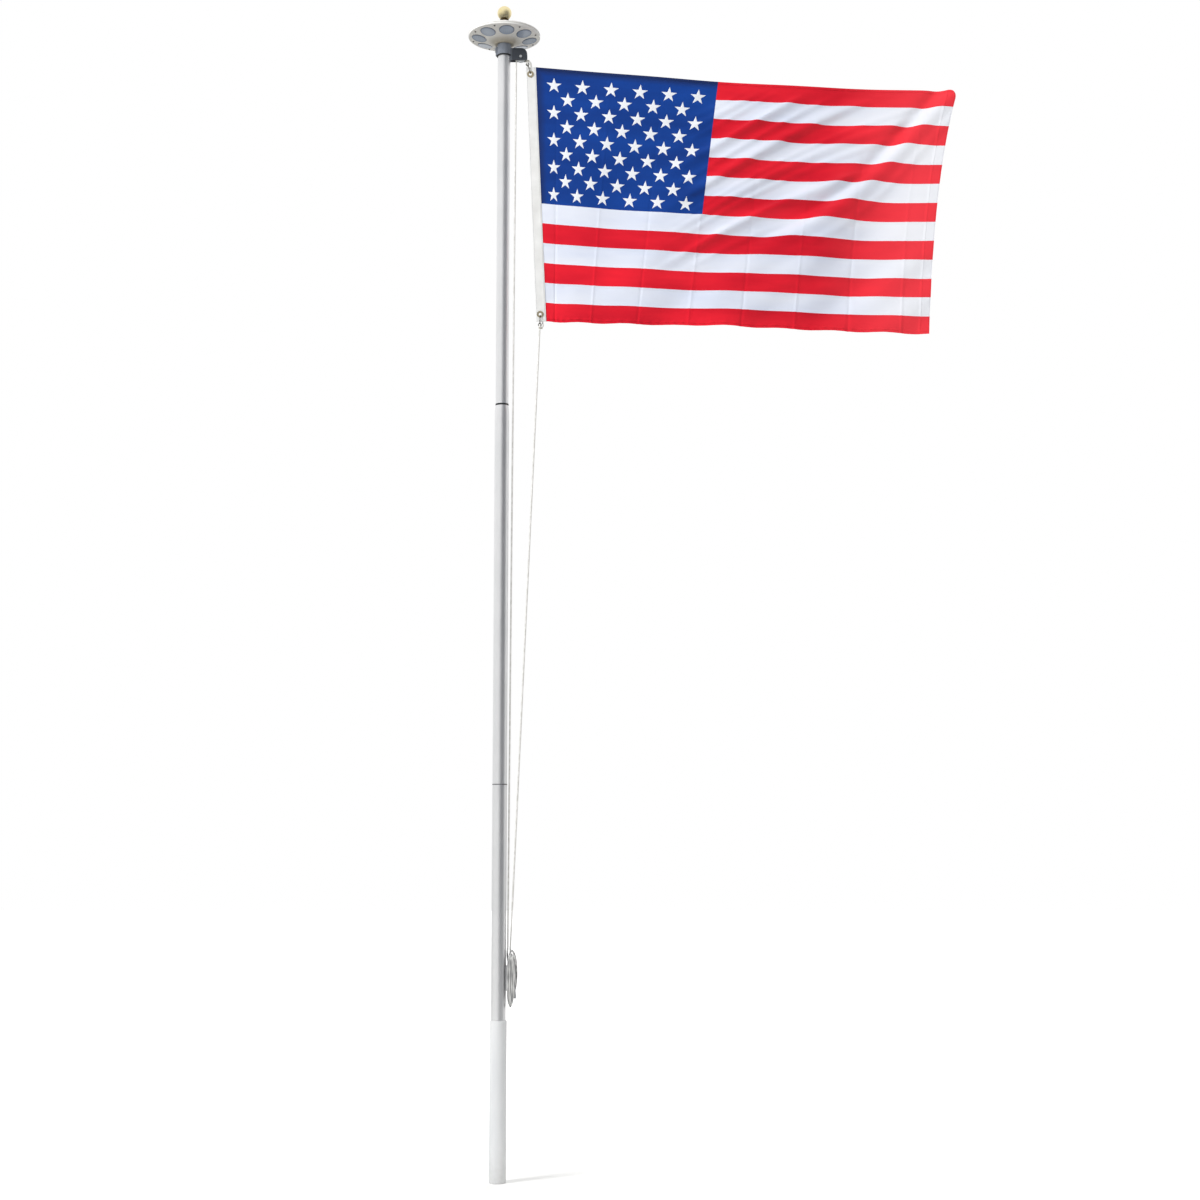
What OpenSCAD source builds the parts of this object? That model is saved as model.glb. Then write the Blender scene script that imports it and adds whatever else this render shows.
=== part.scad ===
// Sectional aluminium flagpole in a ground sleeve, with a pulley truck, a round solar light,
// a ball finial, a halyard made fast on a cleat, and a flag hoisted to the top.
// Millimetres, +Z up. The origin is the centre of the sleeve's flat bottom face.
// The pulley, the cleat and the flag are on the +X side of the pole.

/* [Pole tubes] */
// Outside diameter of the lower and middle tubes
tube_d = 50; // [40:1:64]
// Wall of all three tubes
tube_wall = 1.6; // [1.2:0.1:2.5]
// How far the top tube's side is set in from the middle tube's side
top_step = 2.5; // [1:0.5:4]
// Visible length of the lower tube, and of the middle tube
section_len = 1312; // [1000:1:1600]
// Length of the top tube
top_section_len = 1300; // [1000:1:1600]
// Length of the neck that plugs into the next tube up
neck_len = 110; // [60:5:160]
// Space between a neck and the tube round it
neck_gap = 0.2; // [0.1:0.05:0.4]
// Height of the rolled-in shoulder under the top tube
shoulder_h = 28; // [10:1:40]
// Height of the ring in the lower joint
lower_ring_h = 3; // [2:0.5:6]
// Height of the ring in the upper joint
upper_ring_h = 6; // [3:0.5:10]

/* [Ground sleeve] */
// Overall length of the sleeve with its end cap
sleeve_len = 530; // [380:5:700]
// Wall of the sleeve
sleeve_wall = 3.2; // [2.4:0.1:5]
// Space between the pole and the sleeve
sleeve_gap = 0.8; // [0.4:0.1:2]
// Height of the end cap
end_cap_h = 14; // [10:1:30]
// Thickness of the end cap's floor, on which the pole stands
end_cap_floor = 4; // [3:0.5:8]
// Rounding of the end cap's lower edge
end_cap_round = 3; // [1:0.5:3]

/* [Truck and pulley] */
// Height of the truck's skirt round the top tube
skirt_h = 40; // [30:1:60]
// Wall of the skirt
skirt_wall = 2.4; // [2:0.2:5]
// Thickness of the truck's closed top
truck_top_t = 5; // [4:0.5:10]
// Space between the skirt and the top tube
skirt_gap = 0.2; // [0.1:0.05:0.5]
// Outside diameter of the pulley wheel
sheave_d = 36; // [30:1:48]
// Width of the pulley wheel
sheave_w = 12; // [10:1:18]
// Space between the wheel and each cheek
sheave_gap = 1.2; // [0.6:0.1:2]
// Diameter of the pulley's axle
axle_d = 6; // [5:0.5:8]
// Thickness of each cheek
cheek_t = 4; // [3:0.5:7]
// Height of the cheeks
cheek_h = 44; // [36:1:60]
// Rounding of the cheeks' upper outer corner
cheek_round = 22; // [10:1:26]
// Height of the seal ring under the skirt
seal_h = 3; // [2:0.5:3.5]

/* [Solar light] */
// Outside diameter of the light
light_d = 255; // [240:5:320]
// Slope of the underside, rising from the hub to the rim
pan_slope = 12; // [6:1:16]
// Wall of the light's housing
pan_wall = 3; // [2.4:0.2:5]
// Diameter of the light's hub where it stands on the truck
hub_d = 66; // [56:1:80]
// Height of the hub under the pan
hub_h = 8; // [5:1:12]
// Slope of the hub's flare at the truck, in degrees
hub_slope = 60; // [45:5:75]
// Height of the rim of each half of the housing
rim_h = 5; // [4:0.5:9]
// Rise of the top dome
dome_rise = 16; // [10:1:26]
// Diameter of each lens
lens_d = 54; // [40:1:58]
// Number of lenses
lens_count = 8; // [6:1:8]
// Space between a lens and the light's rim
lens_inset = 10.5; // [8:0.5:14]
// Diameter of the pan screws' heads
pan_screw_d = 6; // [5:0.5:8]

/* [Finial] */
// Diameter of the ball
ball_d = 50; // [40:1:75]
// Diameter of the spindle that the light and the ball are threaded on
spindle_d = 12; // [10:1:16]
// Height of the finial's stem between the light and the ball's collar
stem_h = 34; // [20:1:60]
// Diameter of the collar under the ball
collar_d = 32; // [26:1:40]

/* [Halyard and cleat] */
// Diameter of the halyard
rope_d = 6; // [5:0.5:6.5]
// Height of the cleat's centre
cleat_z = 670; // [640:5:1100]
// Overall length of the cleat
cleat_len = 138; // [130:2:200]
// Thickness of the cleat's horns at their root
horn_d = 12; // [9:0.5:14]
// Distance from the pole's side to the middle of the horns
cleat_reach = 26; // [22:1:32]
// Width of the hank of spare rope on the cleat, out from the pole
hank_w = 38; // [36:1:44]
// Overall height of the hank
hank_h = 196; // [180:2:220]
// Depth of the hank, across the cleat
hank_depth = 42; // [34:1:56]

/* [Flag] */
// Length of the flag from the hoist edge to the fly edge
flag_fly = 1540; // [900:4:1830]
// Height of the flag along its hoist
flag_hoist = 928; // [600:2:1120]
// Width of the canvas heading
heading_w = 35; // [30:1:44]
// Thickness that the cloth and the heading are modelled with
cloth_t = 3; // [2:0.5:4]
// How far the hoist edge leans from the vertical, in degrees
hoist_lean = 2.5; // [0:0.5:4]
// How far the top edge falls towards the fly, in degrees
top_fall = 3.5; // [0:0.1:8]
// How far the bottom edge falls towards the fly, in degrees
bottom_fall = 1.9; // [0:0.1:8]
// Share of its length that the bottom edge spans, the rest being in its folds
bottom_span = 0.89; // [0.85:0.01:1]
// Depth of the flag's folds
fold_depth = 22; // [0:1:40]
// Distance from one fold to the next
fold_pitch = 430; // [300:10:700]
// Distance of the grommets from the flag's top and bottom edges
grommet_inset = 26; // [20:1:40]
// Distance of the grommets from the hoist edge
grommet_edge = 15; // [14:0.5:20]
// Outside diameter of the grommets
grommet_d = 24; // [20:1:28]
// Diameter of the grommets' holes
grommet_hole_d = 11; // [10:0.5:13]

/* [Snap hooks] */
// Diameter of the hooks' wire
wire_d = 3.6; // [3:0.2:4]
// Space left inside the hook past the flag's edge
hook_spare = 3.2; // [2:0.2:12]
// Space across the inside of the hook
hook_wide = 10; // [8:0.5:12]
// Space between the rope and the inside of the hook's eye
eye_spare = 0.5; // [0.4:0.1:3]

/* [Hidden] */

$fn = 72;
hair = 0.3;                       // gap left between soft pieces and what they lie against
fit_gap = 0.2;                    // gap round pieces that are set into another
face_gap = 0.15;                  // gap between two curved faces that lie on each other

tube_r = tube_d / 2;
top_r = tube_r - top_step;
bore_r = tube_r - tube_wall;
top_bore_r = top_r - tube_wall;
lower_neck_r = bore_r - neck_gap;
upper_neck_r = top_bore_r - neck_gap;
neck_root = 6;                    // how far the inside narrows below a neck

sleeve_in_r = tube_r + sleeve_gap;
sleeve_r = sleeve_in_r + sleeve_wall;

foot_z = end_cap_floor;
lower_joint_z = foot_z + section_len;
middle_foot_z = lower_joint_z + lower_ring_h;
upper_joint_z = middle_foot_z + section_len;
top_foot_z = upper_joint_z + upper_ring_h;
top_z = top_foot_z + top_section_len;

skirt_in_r = top_r + skirt_gap;
skirt_r = skirt_in_r + skirt_wall;
truck_z = top_z + truck_top_t;
sheave_r = sheave_d / 2;
groove_depth = 5;
groove_r = sheave_r - groove_depth;                   // wheel's radius at the bottom of its groove
rope_r = rope_d / 2;
rope_track_r = groove_r + hair + rope_r;              // radius of the rope's middle round the wheel
rim_space = 16;                                       // from the skirt to the wheel's rim
axle_x = skirt_r + rim_space + sheave_r;
axle_drop = 6;                                        // from the skirt's lower edge to the axle
axle_z = truck_z - skirt_h - axle_drop;
cheek_in_y = sheave_w / 2 + sheave_gap;
cheek_out_y = cheek_in_y + cheek_t;
cheek_under = 13;                                     // from the axle to the cheeks' lower edge
cheek_low_z = axle_z - cheek_under;
cheek_past = 5;                                       // how far the cheeks reach past the wheel
cheek_end_x = axle_x + sheave_r + cheek_past;
cheek_foot_round = 4;                                 // rounding of the lower outer corner
seal_out = 1.8;                                       // how far the seal ring stands out
seal_r = skirt_r + seal_out;
lug_out = 5;                                          // how far the screw lug stands out
lug_w = 12;
lug_h = 32;
clamp_screw_d = 6;
clamp_screw_z = truck_z - skirt_h + lug_h / 2;
axle_gap = 0.05;                                      // running clearance round the axle
axle_head_d = axle_d + 4;
axle_head_t = 2.5;
axle_nut_t = 4;

light_r = light_d / 2;
hub_r = hub_d / 2;
hub_z = truck_z;                                      // the hub stands on the truck
pan_root_z = hub_z + hub_h;
pan_rim_z = pan_root_z + (light_r - hub_r) * tan(pan_slope);
flare_r = hub_h / (cos(pan_slope) - cos(hub_slope)
    - (sin(hub_slope) - sin(pan_slope)) * tan(pan_slope)); // makes the flare meet the pan smoothly
gasket_h = 2;
gasket_z = pan_rim_z + rim_h;
dome_rim_z = gasket_z + gasket_h;
dome_shoulder_z = dome_rim_z + rim_h;
dome_edge = 2;                                        // bevel round the dome's rim
dome_top_r = 24;
dome_top_z = dome_shoulder_z + dome_rise;
spindle_r = spindle_d / 2;
lens_first = -82;                                     // direction of the first lens
lens_pcr = light_r - lens_inset - lens_d / 2;         // from the axis to a lens's middle
lens_t = 3;
lens_seat = 1.4;                                      // depth of a lens's seat in the pan
pan_screw_inset = 12;
pan_screw_shank_d = 2;
pan_screw_r = light_r - pan_screw_inset;
panel_in_r = 34;
panel_inset = 10;
panel_out_r = light_r - panel_inset;
panel_t = 1.6;

stem_z = dome_top_z;
collar_z = stem_z + stem_h;
collar_h = 5;
ball_r = ball_d / 2;
ball_flat = 1.5;                                      // how much of the ball its flat foot cuts off
ball_z = collar_z + collar_h + ball_r - ball_flat;
spindle_over = 10;                                    // how far the spindle reaches into the ball
spindle_under = 12;                                   // how far it reaches into the top tube

horn_x = tube_r + cleat_reach;
horn_lift = 5;                                        // how far a horn's tip turns out
cleat_foot_w = 18;
cleat_foot_h = 84;
cleat_foot_t = 6;
bar_h = 56;                                           // height of the cleat's bar between its horns
post_at = 17;                                         // from the cleat's middle to each post
foot_sunk = 5;                                        // how far the foot wraps round the tube
cleat_screw_d = 4.8;
cleat_screw_at = 34;                                  // from the cleat's middle to each screw

hoist_x = axle_x + rope_track_r + 2;                  // hoist edge's place at the top
cloth_gap = 0.4;                                      // between the heading and the cloth
grommet_r = grommet_d / 2;
grommet_hole_r = grommet_hole_d / 2;
barrel_t = 0.6;
flange_t = 1.2;
flag_cols = 26;
flag_rows = 14;

wire_r = wire_d / 2;
hook_r = hook_wide / 2 + wire_r;                      // radius of the hook's bends
eye_wire_r = 1.5;
eye_track_r = rope_r + eye_spare + eye_wire_r;
eye_r = eye_track_r + eye_wire_r;
hook_inside = grommet_inset - grommet_hole_r + hair + hook_spare;
hook_leg = hook_inside - 2 * hook_r + 2 * wire_r;     // straight leg between the bends
hook_neck_h = 1;                                      // from the hook's top bend to its eye
hook_end = 2;                                         // straight wire at each end of the gate
eye_sunk = 0.5;                                       // how far the eye is welded into the neck
eye_at = 2 * hook_r + hook_leg + hook_neck_h + eye_wire_r + eye_track_r - eye_sunk;
loop_r = rope_r + eye_wire_r + 2 * hair;              // radius of the rope's loop through the eye
seizing_at = eye_at + eye_track_r + loop_r - 1;       // from the hook's bend to the seizing
seizing_h = 4;
seizing_wall = 0.8;
strand_gap = rope_d + 0.4;                            // between the two strands in a seizing
rope_rise = 11;                                       // from the upper seizing to the axle's height

// The flag hangs as high as its upper hook lets it
bend_inset = grommet_inset - grommet_hole_r + wire_r + hair;
flag_top_z = axle_z - rope_rise - seizing_h - seizing_at + bend_inset;

// Places on the flag. The hoist leans, so a point at v below the top edge moves out.
function hoist_point(v, out = 0) =
    [hoist_x + v * tan(hoist_lean) + out, flag_top_z - v];
upper_grommet_at = hoist_point(grommet_inset, grommet_edge);
lower_grommet_at = hoist_point(flag_hoist - grommet_inset, grommet_edge);

// Lines of the snap hooks and of the halyard, as points [x, z] in the plane y = 0
upper_bend = upper_grommet_at + [0, grommet_hole_r - wire_r - hair];
lower_bend = lower_grommet_at - [0, grommet_hole_r - wire_r - hair];
fall_x = axle_x + rope_track_r;                       // the rope's line off the wheel, flag side
cleat_line_z = cleat_z + hank_h / 2 + hair;           // where the lines reach the hank
behind_y = cloth_t / 2 + flange_t + rope_r + 1;       // the line's place behind the heading
hoisting_foot = [tube_r + rope_r + 2.5, cleat_line_z];
downhaul_foot = [tube_r + rope_r + 11, cleat_line_z];

function turn_to(from, to) = atan2(to[0] - from[0], to[1] - from[1]);
function along(from, turn, dist) = from + dist * [sin(turn), cos(turn)];
function flat(p, y = 0) = [p[0], y, p[1]];
function strand(seizing, turn, side) = seizing + side * strand_gap * [cos(turn), -sin(turn)];
function beside_eye(bend, turn, angle) =
    along(along(bend, turn, eye_at), turn + angle, eye_r + rope_r + 1);
axle_at = [axle_x, axle_z];
upper_turn = turn_to(upper_bend, [fall_x, axle_z]);
lower_turn = turn_to(lower_bend, downhaul_foot);
upper_seizing = along(upper_bend, upper_turn, seizing_at);
lower_seizing = along(lower_bend, lower_turn, seizing_at);

// The rope's half turn over the wheel, from the pole's side to the flag's
wheel_steps = 16;
over_wheel = [for (i = [0 : wheel_steps])
    axle_at + rope_track_r * [cos(180 - 180 * i / wheel_steps), sin(180 - 180 * i / wheel_steps)]];

// ---------------------------------------------------------------- shared shapes

// Puts a shape at a point of the plane y = 0, its +Z turned towards +X by an angle
module set_at(point, turn) {
    translate([point[0], 0, point[1]]) rotate([0, turn, 0]) children();
}

// A tube of revolution, from its outline as [radius, height] points
module turned(points) {
    rotate_extrude() polygon(points);
}

// A screw with a low domed head that points along +Z
module round_head_screw(head_d, head_t, shank_d, shank_len) {
    side_h = 0.55 * head_t;
    cylinder(d = head_d, h = side_h);
    translate([0, 0, side_h]) cylinder(d1 = head_d, d2 = 0.6 * head_d, h = head_t - side_h);
    translate([0, 0, -shank_len]) cylinder(d = shank_d, h = shank_len);
}

// ---------------------------------------------------------------- ground sleeve

module sleeve_end_cap() {
    color("gainsboro") difference() {
        union() {
            translate([0, 0, end_cap_round]) cylinder(r = sleeve_r, h = end_cap_h - end_cap_round);
            cylinder(r = sleeve_r - end_cap_round, h = end_cap_h);
            translate([0, 0, end_cap_round]) rotate_extrude()
                translate([sleeve_r - end_cap_round, 0]) circle(r = end_cap_round);
        }
        translate([0, 0, end_cap_floor]) cylinder(r = sleeve_in_r, h = end_cap_h);
    }
}

module ground_sleeve() {
    color("gainsboro") turned([
        [sleeve_in_r, end_cap_h], [sleeve_r, end_cap_h],
        [sleeve_r, sleeve_len - 1], [sleeve_r - 1, sleeve_len],
        [sleeve_in_r + 1, sleeve_len], [sleeve_in_r, sleeve_len - 1]]);
}

// ---------------------------------------------------------------- pole tubes

module lower_tube() {
    color("silver") difference() {
        turned([
            [bore_r, foot_z], [tube_r, foot_z], [tube_r, lower_joint_z],
            [lower_neck_r, lower_joint_z], [lower_neck_r, lower_joint_z + neck_len],
            [lower_neck_r - tube_wall, lower_joint_z + neck_len],
            [lower_neck_r - tube_wall, lower_joint_z - neck_root],
            [bore_r, lower_joint_z - 2 * neck_root]]);
        cleat_screw_places() cylinder(d = cleat_screw_d + 2 * fit_gap, h = 40, center = true);
    }
}

module lower_joint_ring() {
    color("dimgray") turned([
        [lower_neck_r + fit_gap, lower_joint_z], [tube_r + 0.3, lower_joint_z],
        [tube_r + 0.3, middle_foot_z], [lower_neck_r + fit_gap, middle_foot_z]]);
}

module middle_tube() {
    round_r = (shoulder_h * shoulder_h + top_step * top_step) / (2 * top_step);
    sweep = asin(shoulder_h / round_r);
    shoulder = [for (i = [0 : 12])
        [tube_r - round_r * (1 - cos(sweep * i / 12)),
         upper_joint_z - shoulder_h + round_r * sin(sweep * i / 12)]];
    color("silver") turned(concat(
        [[bore_r, middle_foot_z], [tube_r, middle_foot_z]], shoulder,
        [[upper_neck_r, upper_joint_z], [upper_neck_r, upper_joint_z + neck_len],
         [upper_neck_r - tube_wall, upper_joint_z + neck_len],
         [upper_neck_r - tube_wall, upper_joint_z - neck_root],
         [bore_r, upper_joint_z - shoulder_h - neck_root]]));
}

module upper_joint_ring() {
    color([0.08, 0.08, 0.09]) turned([
        [upper_neck_r + fit_gap, upper_joint_z], [top_r + 0.3, upper_joint_z],
        [top_r + 0.3, top_foot_z], [upper_neck_r + fit_gap, top_foot_z]]);
}

module top_tube() {
    color("silver") turned([
        [top_bore_r, top_foot_z], [top_r, top_foot_z], [top_r, top_z], [top_bore_r, top_z]]);
}

// ---------------------------------------------------------------- truck and pulley

// A cheek's side view in x and z: square at the truck, well rounded at its upper outer corner
module cheek_side() {
    square([cheek_end_x - cheek_round, cheek_h]);
    translate([0, cheek_foot_round])
        square([cheek_end_x, cheek_h - cheek_round - cheek_foot_round]);
    square([cheek_end_x - cheek_foot_round, cheek_h - cheek_round]);
    translate([cheek_end_x - cheek_round, cheek_h - cheek_round]) circle(r = cheek_round);
    translate([cheek_end_x - cheek_foot_round, cheek_foot_round]) circle(r = cheek_foot_round);
}

module cheek_at(y) {
    translate([0, y + cheek_t, cheek_low_z]) rotate([90, 0, 0])
        linear_extrude(cheek_t) cheek_side();
}

module truck_body() {
    color([0.22, 0.24, 0.27]) difference() {
        union() {
            translate([0, 0, truck_z - skirt_h]) cylinder(r = skirt_r, h = skirt_h);
            cheek_at(cheek_in_y);
            cheek_at(-cheek_out_y);
            translate([-skirt_r - lug_out, -lug_w / 2, truck_z - skirt_h])
                cube([lug_out + 4, lug_w, lug_h]);
        }
        translate([0, 0, -1]) cylinder(r = skirt_in_r, h = top_z + 1);
        translate([axle_x, 0, axle_z]) rotate([90, 0, 0])
            cylinder(d = axle_d + 2 * axle_gap, h = 3 * cheek_out_y, center = true);
        translate([-skirt_r - lug_out - 1, 0, clamp_screw_z]) rotate([0, 90, 0])
            cylinder(d = clamp_screw_d + 2 * fit_gap, h = skirt_wall + lug_out + 6);
        translate([0, 0, truck_z - truck_top_t - 1])
            cylinder(r = spindle_r + fit_gap, h = truck_top_t + 2);
    }
}

// The seal ring round the tube under the skirt, open where the cheeks pass it
module truck_seal() {
    color([0.08, 0.08, 0.09]) difference() {
        turned([
            [skirt_in_r, truck_z - skirt_h - seal_h], [seal_r, truck_z - skirt_h - seal_h],
            [seal_r, truck_z - skirt_h], [skirt_in_r, truck_z - skirt_h]]);
        translate([0, -cheek_out_y - fit_gap, truck_z - skirt_h - seal_h - 1])
            cube([seal_r + 1, 2 * (cheek_out_y + fit_gap), seal_h + 2]);
    }
}

// The screw that clamps the truck on the tube, its point against the tube
module truck_clamp_screw() {
    reach = skirt_gap + skirt_wall + lug_out;
    color("dimgray") translate([-skirt_r - lug_out, 0, clamp_screw_z]) rotate([0, -90, 0])
        round_head_screw(clamp_screw_d + 5, 3, clamp_screw_d, reach);
}

module sheave() {
    half = sheave_w / 2;
    hole_r = axle_d / 2 + axle_gap;
    trough_r = rope_r + hair;
    edge = 0.8;
    groove = [for (a = [-90 : 15 : 90]) [rope_track_r - trough_r * cos(a), trough_r * sin(a)]];
    color("lightgray") translate([axle_x, 0, axle_z]) rotate([90, 0, 0])
        difference() {
            turned(concat(
                [[hole_r, -half], [sheave_r - edge, -half], [sheave_r, -half + edge],
                 [sheave_r, -trough_r - edge]],
                groove,
                [[sheave_r, trough_r + edge], [sheave_r, half - edge],
                 [sheave_r - edge, half], [hole_r, half]]));
            for (a = [0 : 72 : 359])
                rotate([0, 0, a]) translate([(groove_r + axle_d / 2) / 2, 0, 0])
                    cylinder(d = 3, h = sheave_w + 2, center = true);
        }
}

module sheave_axle() {
    end = axle_nut_t + 1;
    color("gainsboro") translate([axle_x, 0, axle_z]) rotate([90, 0, 0]) {
        translate([0, 0, -cheek_out_y - end]) cylinder(d = axle_d, h = 2 * cheek_out_y + end);
        translate([0, 0, cheek_out_y]) cylinder(d = axle_head_d, h = axle_head_t);
    }
}

module axle_nut() {
    color("dimgray") translate([axle_x, cheek_out_y + axle_nut_t, axle_z]) rotate([90, 0, 0])
        difference() {
            cylinder(d = axle_d + 5.5, h = axle_nut_t, $fn = 6);
            translate([0, 0, -1]) cylinder(d = axle_d + 2 * axle_gap, h = axle_nut_t + 2);
        }
}

// ---------------------------------------------------------------- solar light

// Puts a shape on the pan's underside at a distance from the axis, its -Z straight out of it
module on_pan(dist, direction) {
    rotate([0, 0, direction])
        translate([dist, 0, pan_root_z + (dist - hub_r) * tan(pan_slope)])
            rotate([0, -pan_slope, 0]) children();
}

module lens_places() {
    for (i = [0 : lens_count - 1])
        on_pan(lens_pcr, lens_first + i * 360 / lens_count) children();
}

module pan_screw_places() {
    for (i = [0 : lens_count - 1])
        on_pan(pan_screw_r, lens_first + (i + 0.5) * 360 / lens_count) children();
}

module light_pan() {
    steps = 10;
    flare = [for (i = [0 : steps])
        let (a = hub_slope + (pan_slope - hub_slope) * i / steps)
        [hub_r + flare_r * (sin(hub_slope) - sin(a)), hub_z + flare_r * (cos(a) - cos(hub_slope))]];
    color([0.86, 0.84, 0.78]) difference() {
        turned(concat(
            [[spindle_r + fit_gap, hub_z]], flare,
            [[light_r, pan_rim_z], [light_r, gasket_z],
             [light_r - pan_wall, gasket_z], [light_r - pan_wall, pan_rim_z + pan_wall - 1],
             [hub_r, pan_root_z + pan_wall], [spindle_r + fit_gap, pan_root_z + pan_wall]]));
        lens_places() translate([0, 0, -20]) cylinder(d = lens_d + 2 * fit_gap, h = 20 + lens_seat);
        pan_screw_places() cylinder(d = pan_screw_shank_d + 2 * fit_gap, h = 20, center = true);
    }
}

module rim_gasket() {
    color([0.1, 0.1, 0.11]) turned([
        [light_r - pan_wall, gasket_z], [light_r - 0.8, gasket_z],
        [light_r - 0.8, dome_rim_z], [light_r - pan_wall, dome_rim_z]]);
}

module light_dome() {
    color([0.86, 0.84, 0.78]) turned([
        [light_r - pan_wall, dome_rim_z], [light_r, dome_rim_z],
        [light_r, dome_shoulder_z - dome_edge], [light_r - dome_edge, dome_shoulder_z],
        [dome_top_r, dome_top_z], [spindle_r + fit_gap, dome_top_z],
        [spindle_r + fit_gap, dome_top_z - pan_wall], [dome_top_r, dome_top_z - pan_wall],
        [light_r - pan_wall, dome_shoulder_z - pan_wall]]);
}

module lamp_lenses() {
    color([0.6, 0.65, 0.72]) lens_places() translate([0, 0, lens_seat - lens_t]) {
        translate([0, 0, 1]) cylinder(d = lens_d, h = lens_t - 1);
        cylinder(d1 = lens_d - 3, d2 = lens_d, h = 1);
    }
}

module pan_screws() {
    color([0.2, 0.2, 0.22]) pan_screw_places() rotate([180, 0, 0])
        round_head_screw(pan_screw_d, 2, pan_screw_shank_d, 6);
}

// The ring of solar cells under its clear cover, lying on the dome
module solar_panel() {
    slope = dome_rise / (light_r - dome_edge - dome_top_r);
    function dome_z(r) = dome_shoulder_z + (light_r - dome_edge - r) * slope;
    color([0.08, 0.1, 0.2]) turned([
        [panel_in_r, dome_z(panel_in_r) + face_gap], [panel_out_r, dome_z(panel_out_r) + face_gap],
        [panel_out_r, dome_z(panel_out_r) + panel_t], [panel_in_r, dome_z(panel_in_r) + panel_t]]);
}

// ---------------------------------------------------------------- finial

module finial_spindle() {
    color("gray") translate([0, 0, top_z - spindle_under])
        cylinder(r = spindle_r, h = collar_z + collar_h + spindle_over - top_z + spindle_under);
}

module finial_stem() {
    color("goldenrod") turned([
        [spindle_r + fit_gap, stem_z], [15, stem_z], [15, stem_z + 3], [10, stem_z + 6],
        [10, collar_z - 4], [12, collar_z], [spindle_r + fit_gap, collar_z]]);
}

module finial_collar() {
    color([0.25, 0.22, 0.15]) turned([
        [spindle_r + fit_gap, collar_z], [collar_d / 2 - 1, collar_z], [collar_d / 2, collar_z + 1],
        [collar_d / 2, collar_z + collar_h - 1], [collar_d / 2 - 1, collar_z + collar_h],
        [spindle_r + fit_gap, collar_z + collar_h]]);
}

module finial_ball() {
    color("gold") difference() {
        translate([0, 0, ball_z]) sphere(r = ball_r);
        translate([0, 0, ball_z - ball_r - 1]) cylinder(r = ball_r, h = ball_flat + 1);
        translate([0, 0, collar_z]) cylinder(r = spindle_r + fit_gap, h = collar_h + spindle_over + 1);
    }
}

// ---------------------------------------------------------------- cleat

module cleat_screw_places() {
    for (s = [-1, 1])
        translate([tube_r, 0, cleat_z + s * cleat_screw_at]) rotate([0, 90, 0]) children();
}

module horn(side) {
    root = bar_h / 2;
    tip_r = horn_d / 2 - 2;
    rise = cleat_len / 2 - root - tip_r;
    long = norm([horn_lift, rise]);
    translate([horn_x, 0, cleat_z]) mirror([0, 0, side < 0 ? 1 : 0])
        translate([0, 0, root]) rotate([0, atan2(horn_lift, rise), 0]) {
            cylinder(r1 = horn_d / 2, r2 = tip_r, h = long);
            translate([0, 0, long]) sphere(r = tip_r);
        }
}

module cleat() {
    foot_x = tube_r - foot_sunk;
    color([0.75, 0.76, 0.78]) difference() {
        union() {
            translate([foot_x, -cleat_foot_w / 2, cleat_z - cleat_foot_h / 2])
                cube([foot_sunk + cleat_foot_t, cleat_foot_w, cleat_foot_h]);
            for (s = [-1, 1])
                translate([foot_x, 0, cleat_z + s * post_at]) rotate([0, 90, 0])
                    cylinder(d = horn_d, h = horn_x - foot_x);
            translate([horn_x, 0, cleat_z - bar_h / 2]) cylinder(d = horn_d, h = bar_h);
            for (s = [-1, 1])
                translate([horn_x, 0, cleat_z + s * bar_h / 2]) sphere(d = horn_d);
            horn(1);
            horn(-1);
        }
        cylinder(r = tube_r + fit_gap, h = cleat_z + cleat_foot_h);
        cleat_screw_places() cylinder(d = cleat_screw_d + 2 * fit_gap, h = 40, center = true);
    }
}

module cleat_screws() {
    color("silver") cleat_screw_places() translate([0, 0, cleat_foot_t])
        round_head_screw(cleat_screw_d + 4, 3, cleat_screw_d, cleat_foot_t + 10);
}

// ---------------------------------------------------------------- halyard

// A rope swept along 3-D points, none of whose steps runs along Y
module rope_along(points) {
    sides = 10;
    last = len(points) - 1;
    function unit(v) = v / norm(v);
    function way(i) = unit(points[min(i + 1, last)] - points[max(i - 1, 0)]);
    rings = [for (i = [0 : last])
        let (t = way(i), across = unit(cross(t, [0, 1, 0])), deep = cross(across, t))
        each [for (k = [0 : sides - 1])
            points[i] + rope_r * (cos(k * 360 / sides) * across + sin(k * 360 / sides) * deep)]];
    walls = [for (i = [0 : last - 1]) for (k = [0 : sides - 1])
        let (n = (k + 1) % sides)
        [i * sides + k, (i + 1) * sides + k, (i + 1) * sides + n, i * sides + n]];
    ends = [[for (k = [0 : sides - 1]) k], [for (k = [sides - 1 : -1 : 0]) last * sides + k]];
    polyhedron(rings, concat(walls, ends));
}

// From the cleat up to the pulley, over the wheel and down to the upper hook
module hoisting_line() {
    top = along(upper_seizing, upper_turn, seizing_h);
    color("white") rope_along([for (p = concat([hoisting_foot], over_wheel, [top])) flat(p)]);
}

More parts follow.
